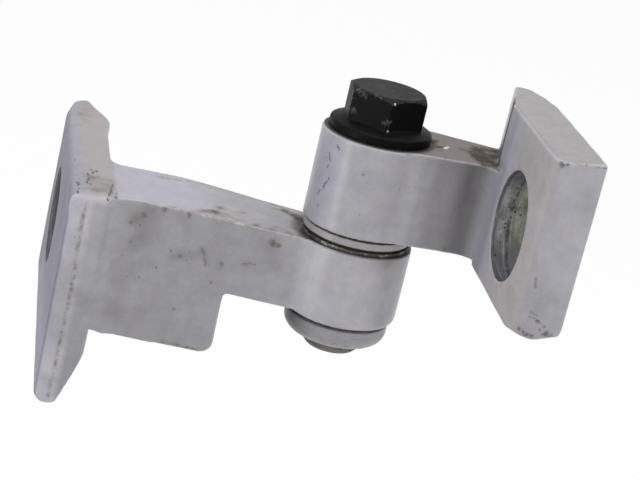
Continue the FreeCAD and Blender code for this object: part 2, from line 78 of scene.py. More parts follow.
# Skins: welding, voxels, smoothing and the waves of a forged surface
WELD_DISTANCE = 2e-6
PILLAR_VOXEL = 0.40 * MM
DOOR_VOXEL = 0.31 * MM
BOLT_VOXEL = 0.17 * MM
SMOOTHING_ROUNDS = 3
WAVE_LENGTH = 7 * MM
WAVE_SHIFT = Vector((7.1, 3.3, 5.7))
PILLAR_WAVES = 0.05 * MM
DOOR_WAVES = 0.04 * MM
EDGE_GAIN = 0.9 * MM

# What the skins change on the solids, to meet the photograph's outline
ARM_DROP = 0.55 * MM
ARM_BACK_BULGE = 1.65 * MM
KNUCKLE_SWELL = 0.14 * MM
FLANGE_CORNER_SWELL = 1.4 * MM
FLANGE_DOME = 0.95 * MM
FLANGE_LEAN = 2.1 * MM
FLANGE_DROP = 0.38 * MM
BLOCK_LOW_ROUND_MM = 5.3
BLOCK_CORNER_ROUND_MM = 2.2
BLOCK_LEAST_ROUND_MM = 0.5
BLOCK_FOOT_DROP = 1.45 * MM
BLOCK_TOP_RISE = 0.75 * MM
BLOCK_THINNING = 0.33 * MM
RING_BOTTOM_CUT = 0.35 * MM
RING_LOW_ROUND = 2.9 * MM
RING_TOP_ROUND = 0.25 * MM


# Meshes

def add_object(name, data):
    """New object in the scene that shows data."""
    obj = bpy.data.objects.new(name, data)
    bpy.context.scene.collection.objects.link(obj)
    return obj


def welded_copy(node, name):
    """New object with the node's shape, its seams closed."""
    mesh = frame["nodes"][node].data.copy()
    mesh.name = name
    bm = bmesh.new()
    bm.from_mesh(mesh)
    bmesh.ops.remove_doubles(bm, verts=bm.verts, dist=WELD_DISTANCE)
    bm.to_mesh(mesh)
    bm.free()
    mesh.materials.clear()
    return add_object(name, mesh)


def apply_modifiers(obj):
    """Replace the object's mesh by its evaluated mesh."""
    graph = bpy.context.evaluated_depsgraph_get()
    mesh = bpy.data.meshes.new_from_object(obj.evaluated_get(graph))
    old = obj.data
    obj.modifiers.clear()
    obj.data = mesh
    bpy.data.meshes.remove(old)
    mesh.name = obj.name


def forged(node, name, voxel):
    """The node's shape as a forging: one even skin whose edges are a little rounded."""
    obj = welded_copy(node, name)
    remesh = obj.modifiers.new("skin", "REMESH")
    remesh.mode = "VOXEL"
    remesh.voxel_size = voxel
    remesh.adaptivity = 0
    smooth = obj.modifiers.new("soft", "SMOOTH")
    smooth.factor = 0.5
    smooth.iterations = SMOOTHING_ROUNDS
    apply_modifiers(obj)
    if "custom_normal" in obj.data.attributes:
        obj.data.attributes.remove(obj.data.attributes["custom_normal"])
    obj.data.shade_smooth()
    return obj


def positions(mesh):
    co = np.empty(len(mesh.vertices) * 3)
    mesh.vertices.foreach_get("co", co)
    return co.reshape(-1, 3)


def normals(mesh):
    no = np.empty(len(mesh.vertices) * 3)
    mesh.vertex_normals.foreach_get("vector", no)
    return no.reshape(-1, 3)


def move_points(obj, co):
    """Put the object's points at the places in co."""
    obj.data.vertices.foreach_set("co", co.ravel())
    obj.data.update()


def uneven(obj, depth, seed):
    """Push the skin in and out a little, as a forging's surface is."""
    co = positions(obj.data)
    no = normals(obj.data)
    push = np.array([noise.noise(Vector(p) / WAVE_LENGTH + WAVE_SHIFT * seed) for p in co])
    move_points(obj, co + no * (push * depth)[:, None])


def store(obj, **layers):
    """Store numbers for the material to read: layers of one number a point."""
    for name, values in layers.items():
        layer = obj.data.attributes.new(name, "FLOAT", "POINT")
        layer.data.foreach_set("value", np.asarray(values, dtype=np.float32))


def turned(name, profile, segments=192):
    """Closed ring or disc about the pin: profile is (radius, height) from inside bottom round."""
    verts = []
    faces = []
    count = len(profile)
    for sector in range(segments):
        angle = 2 * math.pi * sector / segments
        for radius, height in profile:
            verts.append((
                PIN.x + radius * math.cos(angle),
                PIN.y + radius * math.sin(angle),
                height,
            ))
    for sector in range(segments):
        here = sector * count
        after = (sector + 1) % segments * count
        for index in range(count):
            following = (index + 1) % count
            faces.append((here + index, after + index, after + following, here + following))
    mesh = bpy.data.meshes.new(name)
    mesh.from_pydata(verts, [], faces)
    bm = bmesh.new()
    bm.from_mesh(mesh)
    bmesh.ops.recalc_face_normals(bm, faces=bm.faces)
    bm.to_mesh(mesh)
    bm.free()
    mesh.shade_smooth()
    return add_object(name, mesh)


def rounded_profile(corners, steps=12):
    """Points of a closed outline whose corners (radius, height, round) are arcs."""
    points = []
    for index, (x, y, r) in enumerate(corners):
        here = Vector((x, y))
        if r <= 0:
            points.append((x, y))
            continue
        before = Vector(corners[index - 1][:2])
        after = Vector(corners[(index + 1) % len(corners)][:2])
        back = (before - here).normalized()
        ahead = (after - here).normalized()
        half = back.angle(ahead) / 2
        reach = r / math.tan(half)
        centre = here + (back + ahead).normalized() * (r / math.sin(half))
        start = here + back * reach - centre
        end = here + ahead * reach - centre
        turn = start.angle_signed(end)
        for part in range(steps + 1):
            angle = -turn * part / steps
            c, s = math.cos(angle), math.sin(angle)
            point = centre + Vector((start.x * c - start.y * s, start.x * s + start.y * c))
            points.append((point.x, point.y))
    return points


# Node helpers

# A Mix node's two inputs and its output, by kind
MIX_SOCKETS = {"RGBA": (6, 7, 2), "FLOAT": (2, 3, 0)}
SINGLE_NUMBER = ("LENGTH", "DISTANCE", "DOT_PRODUCT")
MARK_WOBBLE = 0.9 * MM


def put(tree, socket, value):
    """Link value to the socket if it is a socket too, else set it."""
    if isinstance(value, bpy.types.NodeSocket):
        tree.links.new(value, socket)
    elif value is not None:
        socket.default_value = value


def new_node(tree, kind, **inputs):
    """New shader node with its named inputs linked or set."""
    node = tree.nodes.new(kind)
    for name, value in inputs.items():
        put(tree, node.inputs[name], value)
    return node


def empty_tree(owner):
    """Node tree of a material or a world, without any node."""
    owner.use_nodes = True
    owner.node_tree.nodes.clear()
    return owner.node_tree


class Nodes:
    """Short names for building one node material, whose noise differs by seed."""

    def __init__(self, name, seed):
        self.seed = seed
        self.material = bpy.data.materials.new(name)
        self.tree = empty_tree(self.material)
        self.shader = new_node(self.tree, "ShaderNodeBsdfPrincipled")
        new_node(self.tree, "ShaderNodeOutputMaterial", Surface=self.shader.outputs[0])
        self.place = new_node(self.tree, "ShaderNodeTexCoord").outputs["Object"]

    def set(self, name, value):
        """Give the surface shader an input."""
        put(self.tree, self.shader.inputs[name], value)

    def math(self, operation, a, b=None, c=None, clamp=False):
        node = new_node(self.tree, "ShaderNodeMath")
        node.operation = operation
        node.use_clamp = clamp
        for socket, value in zip(node.inputs, (a, b, c)):
            put(self.tree, socket, value)
        return node.outputs[0]

    def times(self, a, b):
        return self.math("MULTIPLY", a, b)

    def swing(self, value, width, centre=0.0):
        """A value of 0 to 1, spread over width about centre."""
        return self.math("MULTIPLY_ADD", value, width, centre - width / 2)

    def vector(self, operation, a, b=None, scale=None):
        node = new_node(self.tree, "ShaderNodeVectorMath")
        node.operation = operation
        for socket, value in zip(node.inputs, (a, b)):
            put(self.tree, socket, value)
        if scale is not None:
            put(self.tree, node.inputs["Scale"], scale)
        return node.outputs["Value" if operation in SINGLE_NUMBER else "Vector"]

    def shifted(self, where, offset):
        """The place moved to another part of the same noise."""
        seed = self.seed + offset
        return self.vector("ADD", where, (seed, seed * 0.7, seed * 1.3))

    def noise(self, size, detail, rough, offset, stretch=None, distortion=0.0, colour=False):
        """Noise whose blobs are about size mm across."""
        where = self.vector("MULTIPLY", self.place, stretch) if stretch else self.place
        node = new_node(
            self.tree, "ShaderNodeTexNoise", Vector=self.shifted(where, offset),
            Scale=1 / (size * MM), Detail=detail, Roughness=rough, Distortion=distortion,
        )
        return node.outputs["Color" if colour else "Fac"]

    def cells(self, size, offset):
        """How far the nearest of many scattered points is, with points about size mm apart."""
        where = self.shifted(self.place, offset)
        node = new_node(self.tree, "ShaderNodeTexVoronoi", Vector=where, Scale=1 / (size * MM))
        return node.outputs["Distance"]

    def ramp(self, value, low, high, start=0.0, end=1.0):
        """Smooth step from start to end as value goes from low to high."""
        limits = {"Value": value, "From Min": low, "From Max": high, "To Min": start, "To Max": end}
        node = new_node(self.tree, "ShaderNodeMapRange", **limits)
        node.interpolation_type = "SMOOTHSTEP"
        return node.outputs[0]

    def mix(self, factor, a, b, kind="RGBA"):
        """From a to b as factor goes from 0 to 1: colours, or numbers if kind is FLOAT."""
        node = new_node(self.tree, "ShaderNodeMix")
        node.data_type = kind
        first, second, result = MIX_SOCKETS[kind]
        for key, value in (("Factor", factor), (first, a), (second, b)):
            put(self.tree, node.inputs[key], value)
        return node.outputs[result]

    def cover(self, base, mask, share, shade):
        """Lay the colour shade over base where the mask is, by share at most."""
        return self.mix(self.times(mask, share), base, shade)

    def stored(self, name):
        node = new_node(self.tree, "ShaderNodeAttribute")
        node.attribute_name = name
        return node.outputs["Fac"]

    def relief(self, height, strength, distance):
        """Shade the surface as if height stood out by distance."""
        node = new_node(
            self.tree, "ShaderNodeBump", Height=height, Strength=strength, Distance=distance,
        )
        self.set("Normal", node.outputs[0])

    def to_axis(self, centre, axis):
        """Distance from a line through centre along axis."""
        offset = self.vector("SUBTRACT", self.place, tuple(centre))
        return self.vector("LENGTH", self.vector("CROSS_PRODUCT", offset, tuple(axis)))

    def along(self, centre, axis):
        """Distance along axis from centre."""
        offset = self.vector("SUBTRACT", self.place, tuple(centre))
        return self.vector("DOT_PRODUCT", offset, tuple(axis))

    def height(self):
        """Height in the shared frame."""
        return self.along((0, 0, 0), (0, 0, 1))

    def ragged(self, size, offset):
        """The place shifted about by noise, which gives placed marks ragged edges."""
        wobble = self.vector("SUBTRACT", self.noise(size, 2, 0.5, offset, colour=True), (0.5, 0.5, 0.5))
        return self.vector("ADD", self.place, self.vector("SCALE", wobble, scale=MARK_WOBBLE))


def colour(r, g, b):
    """A colour given as 0 to 255 display values, as linear light."""
    def linear(value):
        value /= 255
        return value / 12.92 if value <= 0.04045 else ((value + 0.055) / 1.055) ** 2.4
    return (linear(r), linear(g), linear(b), 1.0)


def step(value, low, high):
    """Smooth step of an array from 0 at low to 1 at high."""
    t = np.clip((value - low) / (high - low), 0, 1)
    return t * t * (3 - 2 * t)


def layered(value, layers):
    """Value moved toward each layer's target where that layer's mask is, in order."""
    for target, mask in layers:
        value = value + (target - value) * mask
    return value


def blobs(co, table):
    """Soft patches (x, y, z, radius, strength) in mm, added up."""
    total = np.zeros(len(co))
    for x, y, z, radius, strength in table:
        away = np.linalg.norm(co - (x, y, z), axis=1) / radius
        total += strength * np.exp(-away ** 2 * 1.5)
    return total


def smears(co, table):
    """Soft straight marks (x, y, z, x, y, z, half width) in mm, the strongest at each point."""
    total = np.zeros(len(co))
    for entry in table:
        start, end, width = np.array(entry[:3]), np.array(entry[3:6]), entry[6]
        run = end - start
        share = np.clip((co - start) @ run / (run @ run), 0, 1)
        away = np.linalg.norm(co - start - share[:, None] * run, axis=1)
        total = np.maximum(total, step(away, 1.6 * width, 0.2 * width))
    return total


def along_lines(lines, width):
    """Table of straight marks that follow lines of points."""
    return [(*a, *b, width) for line in lines for a, b in zip(line, line[1:])]


def edge_values(obj, rounds=2):
    """How much each point of the skin stands out as an edge, 0 to 1."""
    mesh = obj.data
    co = positions(mesh)
    no = normals(mesh)
    pairs = np.empty(len(mesh.edges) * 2, dtype=np.int64)
    mesh.edges.foreach_get("vertices", pairs)
    a, b = pairs.reshape(-1, 2).T
    count = np.bincount(a, minlength=len(co)) + np.bincount(b, minlength=len(co))

    def around(values):
        return np.bincount(a, values, len(co)) + np.bincount(b, values, len(co))

    way = co[b] - co[a]
    length = np.linalg.norm(way, axis=1) + 1e-12
    bend = np.einsum("ij,ij->i", no[b] - no[a], way) / length ** 2
    value = around(bend) / np.maximum(count, 1)
    for _ in range(rounds):
        spread = np.bincount(a, value[b], len(co)) + np.bincount(b, value[a], len(co))
        value = 0.5 * value + 0.5 * spread / np.maximum(count, 1)
    return np.clip(value * EDGE_GAIN, 0, 1)


# Marks on the two leaves, in mm in the shared frame: spots are (x, y, z, radius), straight marks
# (x, y, z, x, y, z, half width), and specks (x, y, z, length along y, half width)

PILLAR_DOTS = [
    (13.1, -39.3, 15.0, 0.45), (13.9, -39.3, 10.7, 0.45), (12.6, -39.3, 7.7, 0.35),
    (15.1, -39.4, 14.8, 0.3), (22.2, -41.0, 10.8, 0.4), (24.1, -41.5, 10.2, 0.5),
    (25.9, -41.9, 11.6, 0.3), (25.6, -41.8, 9.6, 0.3), (32.7, -43.5, 10.6, 0.55),
    (31.3, -43.1, 6.2, 0.45), (25.1, -41.7, -1.5, 0.5), (19.9, -40.5, 6.5, 0.35),
    (16.9, -39.8, 3.7, 0.3), (14.5, -39.3, 3.1, 0.3), (39.0, -44.9, 12.1, 0.35),
    (1.3, -31.0, 20.5, 0.4), (0.9, -8.4, 20.3, 0.3), (0.2, -40.6, 18.6, 0.5),
    (0.2, -40.9, 17.8, 0.4), (2.4, -41.5, 10.9, 0.35), (2.5, -41.5, 12.6, 0.25),
    (3.4, -40.8, 0.4, 0.45), (2.9, -41.5, 8.4, 0.25), (9.4, -39.8, 20.0, 0.35),
    (5.8, -29.8, 20.5, 0.4), (6.4, -33.8, 20.5, 0.4), (3.5, -38.4, 20.8, 0.4),
]
PILLAR_BROWN = [
    (41.6, -45.6, 17.5, 0.95), (42.9, -45.8, 17.3, 0.6), (15.5, -39.5, 17.2, 0.8),
    (19.4, -40.4, 19.2, 0.9), (24.3, -41.4, 19.3, 0.7),
]
PILLAR_STROKES = [
    (28.2, -42.3, 12.8, 28.8, -42.5, 11.6, 0.42), (29.2, -42.6, 10.8, 29.5, -42.7, 9.6, 0.4),
    (36.6, -44.4, 11.6, 38.2, -44.8, 12.0, 0.3),
]
PILLAR_SPECKS = [
    (5.5, -26.2, 20.5, 1.1, 0.24), (4.8, -27.6, 20.5, 1.5, 0.26), (3.7, -29.0, 20.5, 1.0, 0.24),
    (3.8, -32.0, 20.5, 1.2, 0.26), (3.4, -34.1, 20.5, 1.5, 0.26), (4.2, -35.0, 20.5, 0.6, 0.2),
    (4.5, -25.8, 20.5, 0.7, 0.22), (1.5, -36.5, 20.6, 1.5, 0.27), (1.2, -35.2, 20.5, 0.6, 0.2),
    (1.1, -21.0, 20.4, 0.7, 0.16), (1.4, -40.6, 20.3, 0.8, 0.2), (1.6, -39.0, 20.6, 0.5, 0.18),
    (8.7, -33.6, 20.5, 1.4, 0.2), (8.4, -35.8, 20.6, 1.6, 0.26), (8.1, -38.2, 20.8, 1.8, 0.3),
    (7.8, -40.3, 20.6, 1.2, 0.28), (7.6, -41.1, 19.8, 0.8, 0.24), (9.3, -37.6, 20.0, 1.0, 0.2),
    (9.1, -39.4, 19.9, 1.0, 0.22),
]
ARM_TOP_SMEARS = [
    (19.9, -39.9, 20.0, 24.8, -41.3, 19.95, 0.4), (24.8, -41.3, 19.95, 29.5, -42.2, 20.0, 0.45),
    (29.5, -42.2, 20.0, 35.1, -43.7, 20.0, 0.6), (35.1, -43.7, 20.0, 40.7, -44.7, 20.0, 0.6),
    (40.7, -44.7, 20.0, 46.0, -45.8, 19.95, 0.6), (26.5, -40.2, 20.0, 30.5, -37.5, 20.0, 0.7),
    (30.5, -37.5, 20.0, 35.5, -36.8, 20.0, 0.6), (29.0, -40.6, 20.0, 34.0, -41.6, 20.0, 0.9),
    (19.4, -22.0, 20.0, 22.6, -21.6, 20.0, 0.8), (22.6, -21.4, 20.0, 29.1, -22.0, 20.0, 0.5),
    (29.1, -22.2, 20.0, 37.5, -25.3, 20.0, 0.5), (37.5, -25.5, 20.0, 44.8, -29.3, 20.0, 0.5),
]
PARTING_LINE = [
    (3.4, -41.5, 18.6), (3.2, -41.5, 14.0), (3.3, -41.5, 8.0), (3.6, -40.9, 1.0),
    (3.5, -39.5, -6.5), (3.4, -38.2, -13.5), (3.4, -36.7, -21.0), (3.2, -35.3, -28.6),
]
ARM_LOW_LINE = [(23.0, -41.2, -9.3), (31.4, -43.2, -9.3)]
OUTER_RIM = [
    (0.2, -34.0, 19.4), (0.15, -40.6, 18.2), (0.12, -41.35, 15.0), (0.12, -41.3, 4.5),
    (0.12, -38.3, -12.0), (0.2, -35.5, -27.8),
]
DOOR_DOTS = [
    (55.4, -51.6, 36.9, 0.42), (71.1, -50.8, 42.8, 0.5), (82.1, -58.5, 47.1, 0.28),
    (85.7, -86.8, 24.9, 0.4), (87.1, -86.8, 24.1, 0.4), (90.3, -87.0, 45.2, 0.22),
    (75.6, -51.5, 24.0, 0.5), (63.4, -51.7, 35.0, 0.25), (56.5, -51.9, 28.5, 0.3),
]
DOOR_BLUE = [
    (48.9, -45.7, 38.6, 49.3, -46.6, 37.2, 0.34), (49.2, -46.5, 36.0, 49.0, -46.1, 34.8, 0.26),
    (49.6, -47.1, 33.4, 49.1, -46.3, 31.0, 0.34), (48.9, -45.6, 30.4, 48.7, -45.2, 29.4, 0.3),
    (50.0, -47.6, 40.7, 50.1, -47.8, 40.2, 0.42), (48.6, -45.3, 37.1, 48.7, -45.5, 36.7, 0.34),
    (49.0, -45.9, 27.6, 49.1, -46.2, 27.0, 0.26),
]
DOOR_CHIPS = [
    (82.3, -86.0, 55.4, 0.7), (83.2, -86.4, 55.7, 0.4), (83.7, -85.5, 22.0, 0.6),
    (84.5, -85.7, 21.6, 0.8), (85.4, -86.1, 21.7, 0.6), (86.5, -86.7, 23.4, 0.4),
    (87.9, -86.7, 22.6, 0.9), (88.7, -86.6, 22.4, 0.7), (91.3, -86.6, 55.9, 0.4),
    (83.1, -84.9, 22.3, 0.5), (85.6, -86.7, 25.0, 0.45), (86.4, -86.8, 24.4, 0.5),
    (87.2, -86.7, 22.6, 0.5), (90.0, -86.8, 56.4, 0.35), (86.6, -86.8, 56.2, 0.3),
]
DOOR_STROKES = [
    (83.3, -86.1, 33.1, 83.6, -86.1, 31.3, 0.34), (84.0, -86.0, 26.3, 85.3, -86.5, 26.1, 0.2),
    (84.0, -86.0, 25.4, 85.1, -86.4, 25.4, 0.2), (83.2, -86.4, 55.8, 91.6, -86.8, 56.4, 0.18),
]
DOOR_SCRATCHES = [(72.7, -44.0, 42.8, 73.6, -42.6, 42.8, 0.42)]


def marks(n, where, table):
    """Mask of the spots (x, y, z, radius) in mm."""
    total = None
    for x, y, z, radius in table:
        away = n.vector("DISTANCE", where, (x * MM, y * MM, z * MM))
        spot = n.ramp(away, radius * 0.3 * MM, radius * 1.25 * MM, 1.0, 0.0)
        total = spot if total is None else n.math("MAXIMUM", total, spot)
    return total


def strokes(n, where, table):
    """Mask of the straight marks (x, y, z, x, y, z, half width) in mm."""
    total = None
    for entry in table:
        start = Vector(entry[:3]) * MM
        run = Vector(entry[3:6]) * MM - start
        width = entry[6] * MM
        offset = n.vector("SUBTRACT", where, tuple(start))
        share = n.vector("DOT_PRODUCT", offset, tuple(run))
        share = n.math("DIVIDE", share, run.length_squared, clamp=True)
        nearest = n.vector("SCALE", tuple(run), scale=share)
        away = n.vector("DISTANCE", offset, nearest)
        line = n.ramp(away, width * 0.3, width * 1.4, 1.0, 0.0)
        total = line if total is None else n.math("MAXIMUM", total, line)
    return total


SPECK_SPREAD = 1.3


def speck_strokes(specks):
    """Straight marks along y, from the specks."""
    return [
        (x, y - run / 2, z, x, y + run / 2, z, width * SPECK_SPREAD)
        for x, y, z, run, width in specks
    ]


NEUTRAL = colour(164, 162, 165)
MOTTLE = colour(156, 154, 158)
LILAC = colour(161, 158, 172)
WARM = colour(168, 161, 157)
DIRTY_ROUGHNESS = 0.8
BARE_STEEL = 0.35
MOUTH_EXTRA = 0.55 * MM
MOUTH_FADE = 0.17 * MM


def painted(n, tone, tint, shift):
    """Colour of the primer: mottled grey that leans to lilac or to beige."""
    cloud = n.noise(6, 4, 0.55, 0)
    fine = n.noise(2.2, 6, 0.72, 0.4)
    base = n.mix(n.ramp(cloud, 0.35, 0.65), MOTTLE, NEUTRAL)
    lean = n.math("ADD", tint, n.swing(n.noise(9, 3, 0.5, 0.7), shift))
    base = n.mix(n.ramp(lean, 0.0, 1.0), base, LILAC)
    base = n.mix(n.ramp(lean, 0.0, -1.0, 0.0, 1.0), base, WARM)
    level = n.times(tone, n.swing(fine, 0.4, 1.0))
    return n.vector("SCALE", base, scale=level)


def paint_surface(n, base, dirt, rough=0.3):
    """Colour and gloss of the primer, duller where it is dirty."""
    level = n.swing(n.noise(4, 3, 0.5, 6.5), 0.12, rough)
    n.set("Base Color", base)
    n.set("Roughness", n.mix(dirt, level, DIRTY_ROUGHNESS, "FLOAT"))
    n.set("Specular IOR Level", 0.32)


def grime_and_edge_highlights(n, base, edge_noise):
    """Painted highlights along convex edges, partly paint wear, then dirt, freckles and rubbed streaks;
    returns the colour, the dirt and the freckles.
    """
    wear_and_edge_highlight = n.math("ADD", n.stored("edge"), n.swing(edge_noise, 0.7))
    # Painted highlight: convex edges lightened to a pale lilac grey, partly as paint worn thin there.
    base = n.cover(base, n.ramp(wear_and_edge_highlight, 0.42, 0.75), 0.4, colour(192, 189, 194))

    amount = n.stored("dirt")
    patchy = n.noise(2.6, 6, 0.75, 0.2, distortion=0.3)
    dirt = n.times(amount, n.ramp(patchy, 0.28, 0.68, 0.3, 1.25))
    dirt = n.ramp(dirt, 0.02, 1.0)
    dirt_colour = n.mix(n.ramp(amount, 0.3, 1.0), colour(118, 107, 94), colour(58, 46, 36))
    olive = n.ramp(n.noise(3, 2, 0.5, 2.5), 0.48, 0.66, 0.0, 0.6)
    dirt_colour = n.mix(olive, dirt_colour, colour(84, 82, 66))
    base = n.cover(base, dirt, 0.95, dirt_colour)

    freckles = n.ramp(n.cells(1.7, 3), 0.04, 0.1, 1.0, 0.0)
    freckles = n.times(freckles, n.ramp(n.noise(6, 2, 0.5, 5), 0.54, 0.6))
    base = n.cover(base, freckles, 0.3, colour(104, 99, 98))
    rubbed = n.ramp(n.noise(1.7, 4, 0.7, 4.2), 0.36, 0.6)
    rubbed = n.times(n.stored("smear"), rubbed)
    return n.cover(base, rubbed, 0.55, colour(114, 103, 88)), dirt, freckles


def marked(n, base, where, edge_noise, tables):
    """Placed marks; returns the colour and the mask of the marks that dent the surface."""
    spots = marks(n, where, tables["dots"])
    base = n.cover(base, spots, 0.46, colour(78, 74, 80))
    lines = strokes(n, where, tables["lines"])
    base = n.cover(base, lines, 0.42, colour(84, 80, 86))
    dents = n.math("MAXIMUM", spots, lines)
    if "specks" in tables:
        pits = strokes(n, where, speck_strokes(tables["specks"]))
        base = n.cover(base, pits, 0.85, colour(46, 44, 48))
    if "brown" in tables:
        halo = n.times(marks(n, where, tables["brown"]), n.ramp(edge_noise, 0.3, 0.6))
        base = n.cover(base, halo, 0.7, colour(84, 78, 60))
    if "blue" in tables:
        broken = n.ramp(n.noise(0.9, 3, 0.7, 4.7), 0.46, 0.56)
        broken = n.times(strokes(n, where, tables["blue"]), broken)
        base = n.cover(base, broken, 0.85, colour(64, 62, 108))
    if "chips" in tables:
        bare = marks(n, where, tables["chips"])
        bare = n.times(bare, n.ramp(n.noise(0.9, 4, 0.6, 4), 0.38, 0.52))
        base = n.cover(base, bare, 0.8, colour(84, 77, 86))
        dents = n.math("MAXIMUM", dents, bare)
    if "scratches" in tables:
        scratched = strokes(n, where, tables["scratches"])
        base = n.cover(base, scratched, 0.85, colour(214, 208, 200))
    return base, dents


def leaf_material(name, seed, hole, axis, shade, tables):
    """Primer on a forged leaf, from the skin's stored values and tables of placed marks."""
    n = Nodes(name, seed)
    where = n.ragged(0.8, 3)
    base = painted(n, n.stored("tone"), n.stored("tint"), 0.5)
    edge_noise = n.noise(1.6, 5, 0.65, 0.9, distortion=0.6)
    base, dirt, freckles = grime_and_edge_highlights(n, base, edge_noise)
    base, dents = marked(n, base, where, edge_noise, tables)

    seam = n.ramp(n.noise(1.5, 5, 0.75, 4.4), 0.42, 0.62, 0.12, 1.0)
    seam = n.times(seam, n.stored("seam"))
    base = n.cover(base, seam, 0.85, colour(104, 94, 76))
    dents = n.math("MAXIMUM", dents, n.times(seam, 0.5))
    base = n.cover(base, n.stored("rim"), 0.6, colour(104, 102, 124))
    # Dark grease, partly painted shade in the gaps by the knuckles and under the bolt's flange.
    grease = n.times(n.stored("grease"), n.ramp(edge_noise, 0.25, 0.45, 0.7, 1.0))
    base = n.mix(grease, base, colour(44, 40, 36))

    radius = n.to_axis(hole, axis)
    mouth_r = bolt_hole_r + MOUTH_EXTRA
    wall = n.ramp(radius, mouth_r, mouth_r + MOUTH_FADE, 1.0, 0.0)
    depth = n.along(hole, axis)
    base = n.mix(wall, base, hole_wall(n, depth, hole.z, shade))
    dull = n.math("MAXIMUM", n.math("MAXIMUM", dirt, n.stored("dull")), n.times(wall, BARE_STEEL))
    paint_surface(n, base, dull)
    n.set("Metallic", n.times(wall, BARE_STEEL))

    soft = n.noise(2.6, 3, 0.5, 7)
    grain = n.times(n.noise(0.4, 2, 0.5, 6), 0.16)
    height = n.math("ADD", soft, grain)
    height = n.math("SUBTRACT", height, n.times(dents, 0.8))
    height = n.math("SUBTRACT", height, n.times(freckles, 0.3))
    n.relief(height, 0.3, 0.06 * MM)
    return n.material


HOLE_DOTS = [
    (86.0, -57.4, 36.1, 0.3), (87.3, -57.5, 35.6, 0.34), (85.5, -57.4, 34.8, 0.3),
    (86.8, -57.4, 37.1, 0.26), (84.8, -57.4, 33.3, 0.32), (84.7, -57.6, 32.6, 0.28),
    (85.3, -58.2, 32.0, 0.28), (85.3, -58.6, 31.4, 0.28), (83.0, -61.1, 27.7, 0.34),
    (84.9, -57.0, 36.7, 0.24), (85.3, -57.2, 36.5, 0.26), (85.6, -57.4, 36.9, 0.22),
    (84.1, -57.1, 34.1, 0.22), (85.3, -58.8, 30.4, 0.26),
]


def hole_wall(n, depth, centre_z, shade):
    """Bare, greasy steel of a bolt hole, with turning marks and a dark line at its step."""
    blotch = n.noise(2.4, 4, 0.6, 9)
    deep = n.ramp(depth, -bolt_hole_length - 0.3 * MM, -bolt_hole_length + 0.5 * MM)
    mouth = n.mix(n.ramp(blotch, 0.34, 0.66), colour(114, 113, 115), colour(162, 162, 160))
    bore = n.mix(n.ramp(blotch, 0.34, 0.66), colour(106, 107, 94), colour(146, 147, 135))
    bare = n.mix(deep, mouth, bore)
    height = n.math("ABSOLUTE", n.math("SUBTRACT", n.height(), centre_z))
    height = n.math("ADD", height, n.swing(blotch, 4 * MM))
    bare = n.mix(n.ramp(height, 5.0 * MM, 8.5 * MM, 0.0, 0.9), bare, colour(92, 92, 100))
    bare = n.mix(shade, bare, colour(84, 84, 90))
    turning = n.noise(0.5, 2, 0.5, 8, stretch=(1.0, 0.06, 0.06))
    bare = n.mix(n.ramp(turning, 0.42, 0.6, 0.0, 0.4), bare, colour(74, 74, 72))
    bright = n.noise(0.9, 3, 0.6, 8.8, stretch=(1.0, 0.08, 0.08))
    bare = n.mix(n.ramp(bright, 0.54, 0.68, 0.0, 0.3 - shade / 4), bare, colour(186, 186, 180))
    rim = n.ramp(depth, bolt_hole_back + 1.3 * MM, bolt_hole_back + 0.5 * MM)
    bare = n.cover(bare, rim, n.ramp(blotch, 0.4, 0.55, 0.3, 0.8), colour(60, 60, 64))
    specks = n.ramp(n.cells(1.3, 8), 0.14, 0.24, 1.0, 0.0)
    specks = n.times(specks, n.ramp(n.noise(3, 2, 0.5, 8.6), 0.42, 0.5))
    bare = n.cover(bare, specks, 0.5, colour(50, 50, 48))
    bare = n.cover(bare, marks(n, n.place, HOLE_DOTS), 0.85, colour(30, 30, 30))
    edge = n.math("ABSOLUTE", n.math("ADD", depth, bolt_hole_length))
    groove = n.ramp(edge, 0.15 * MM, 0.5 * MM, 1.0, 0.0)
    broken = n.ramp(n.noise(1.1, 3, 0.6, 8.2), 0.4, 0.56, 0.35, 1.0)
    return n.cover(bare, n.times(groove, broken), 0.8, colour(52, 52, 54))


def pin_material(name, seed):
    """Primer on the collar, greasy and with painted shade at its grooves, with bare dark steel at the
    lower end.
    """
    n = Nodes(name, seed)
    base = painted(n, 1.06, -0.35, 0.4)
    height = n.height()
    rough = n.noise(1.0, 4, 0.65, 1)
    wavy = n.math("ADD", height, n.swing(rough, 0.5 * MM))
    # Grease and painted shade in the gaps above and below the collar.
    above = n.ramp(wavy, collar_high - 0.72 * MM, collar_high - 0.4 * MM)
    below = n.ramp(wavy, collar_low + 0.7 * MM, collar_low + 0.45 * MM)
    grease = n.math("MAXIMUM", above, below)
    base = n.cover(base, grease, 0.88, colour(48, 45, 40))
    blotch = n.ramp(n.noise(2.4, 4, 0.6, 2), 0.35, 0.65)
    steel = n.mix(blotch, colour(100, 98, 94), colour(128, 126, 122))
    bare = n.ramp(height, top_bush_low.z, top_bush_low.z - 1 * MM)
    base = n.mix(bare, base, steel)
    paint_surface(n, base, n.math("MAXIMUM", grease, n.times(bare, BARE_STEEL)))
    n.set("Metallic", n.times(bare, 0.6))
    n.relief(rough, 0.3, 0.04 * MM)
    return n.material


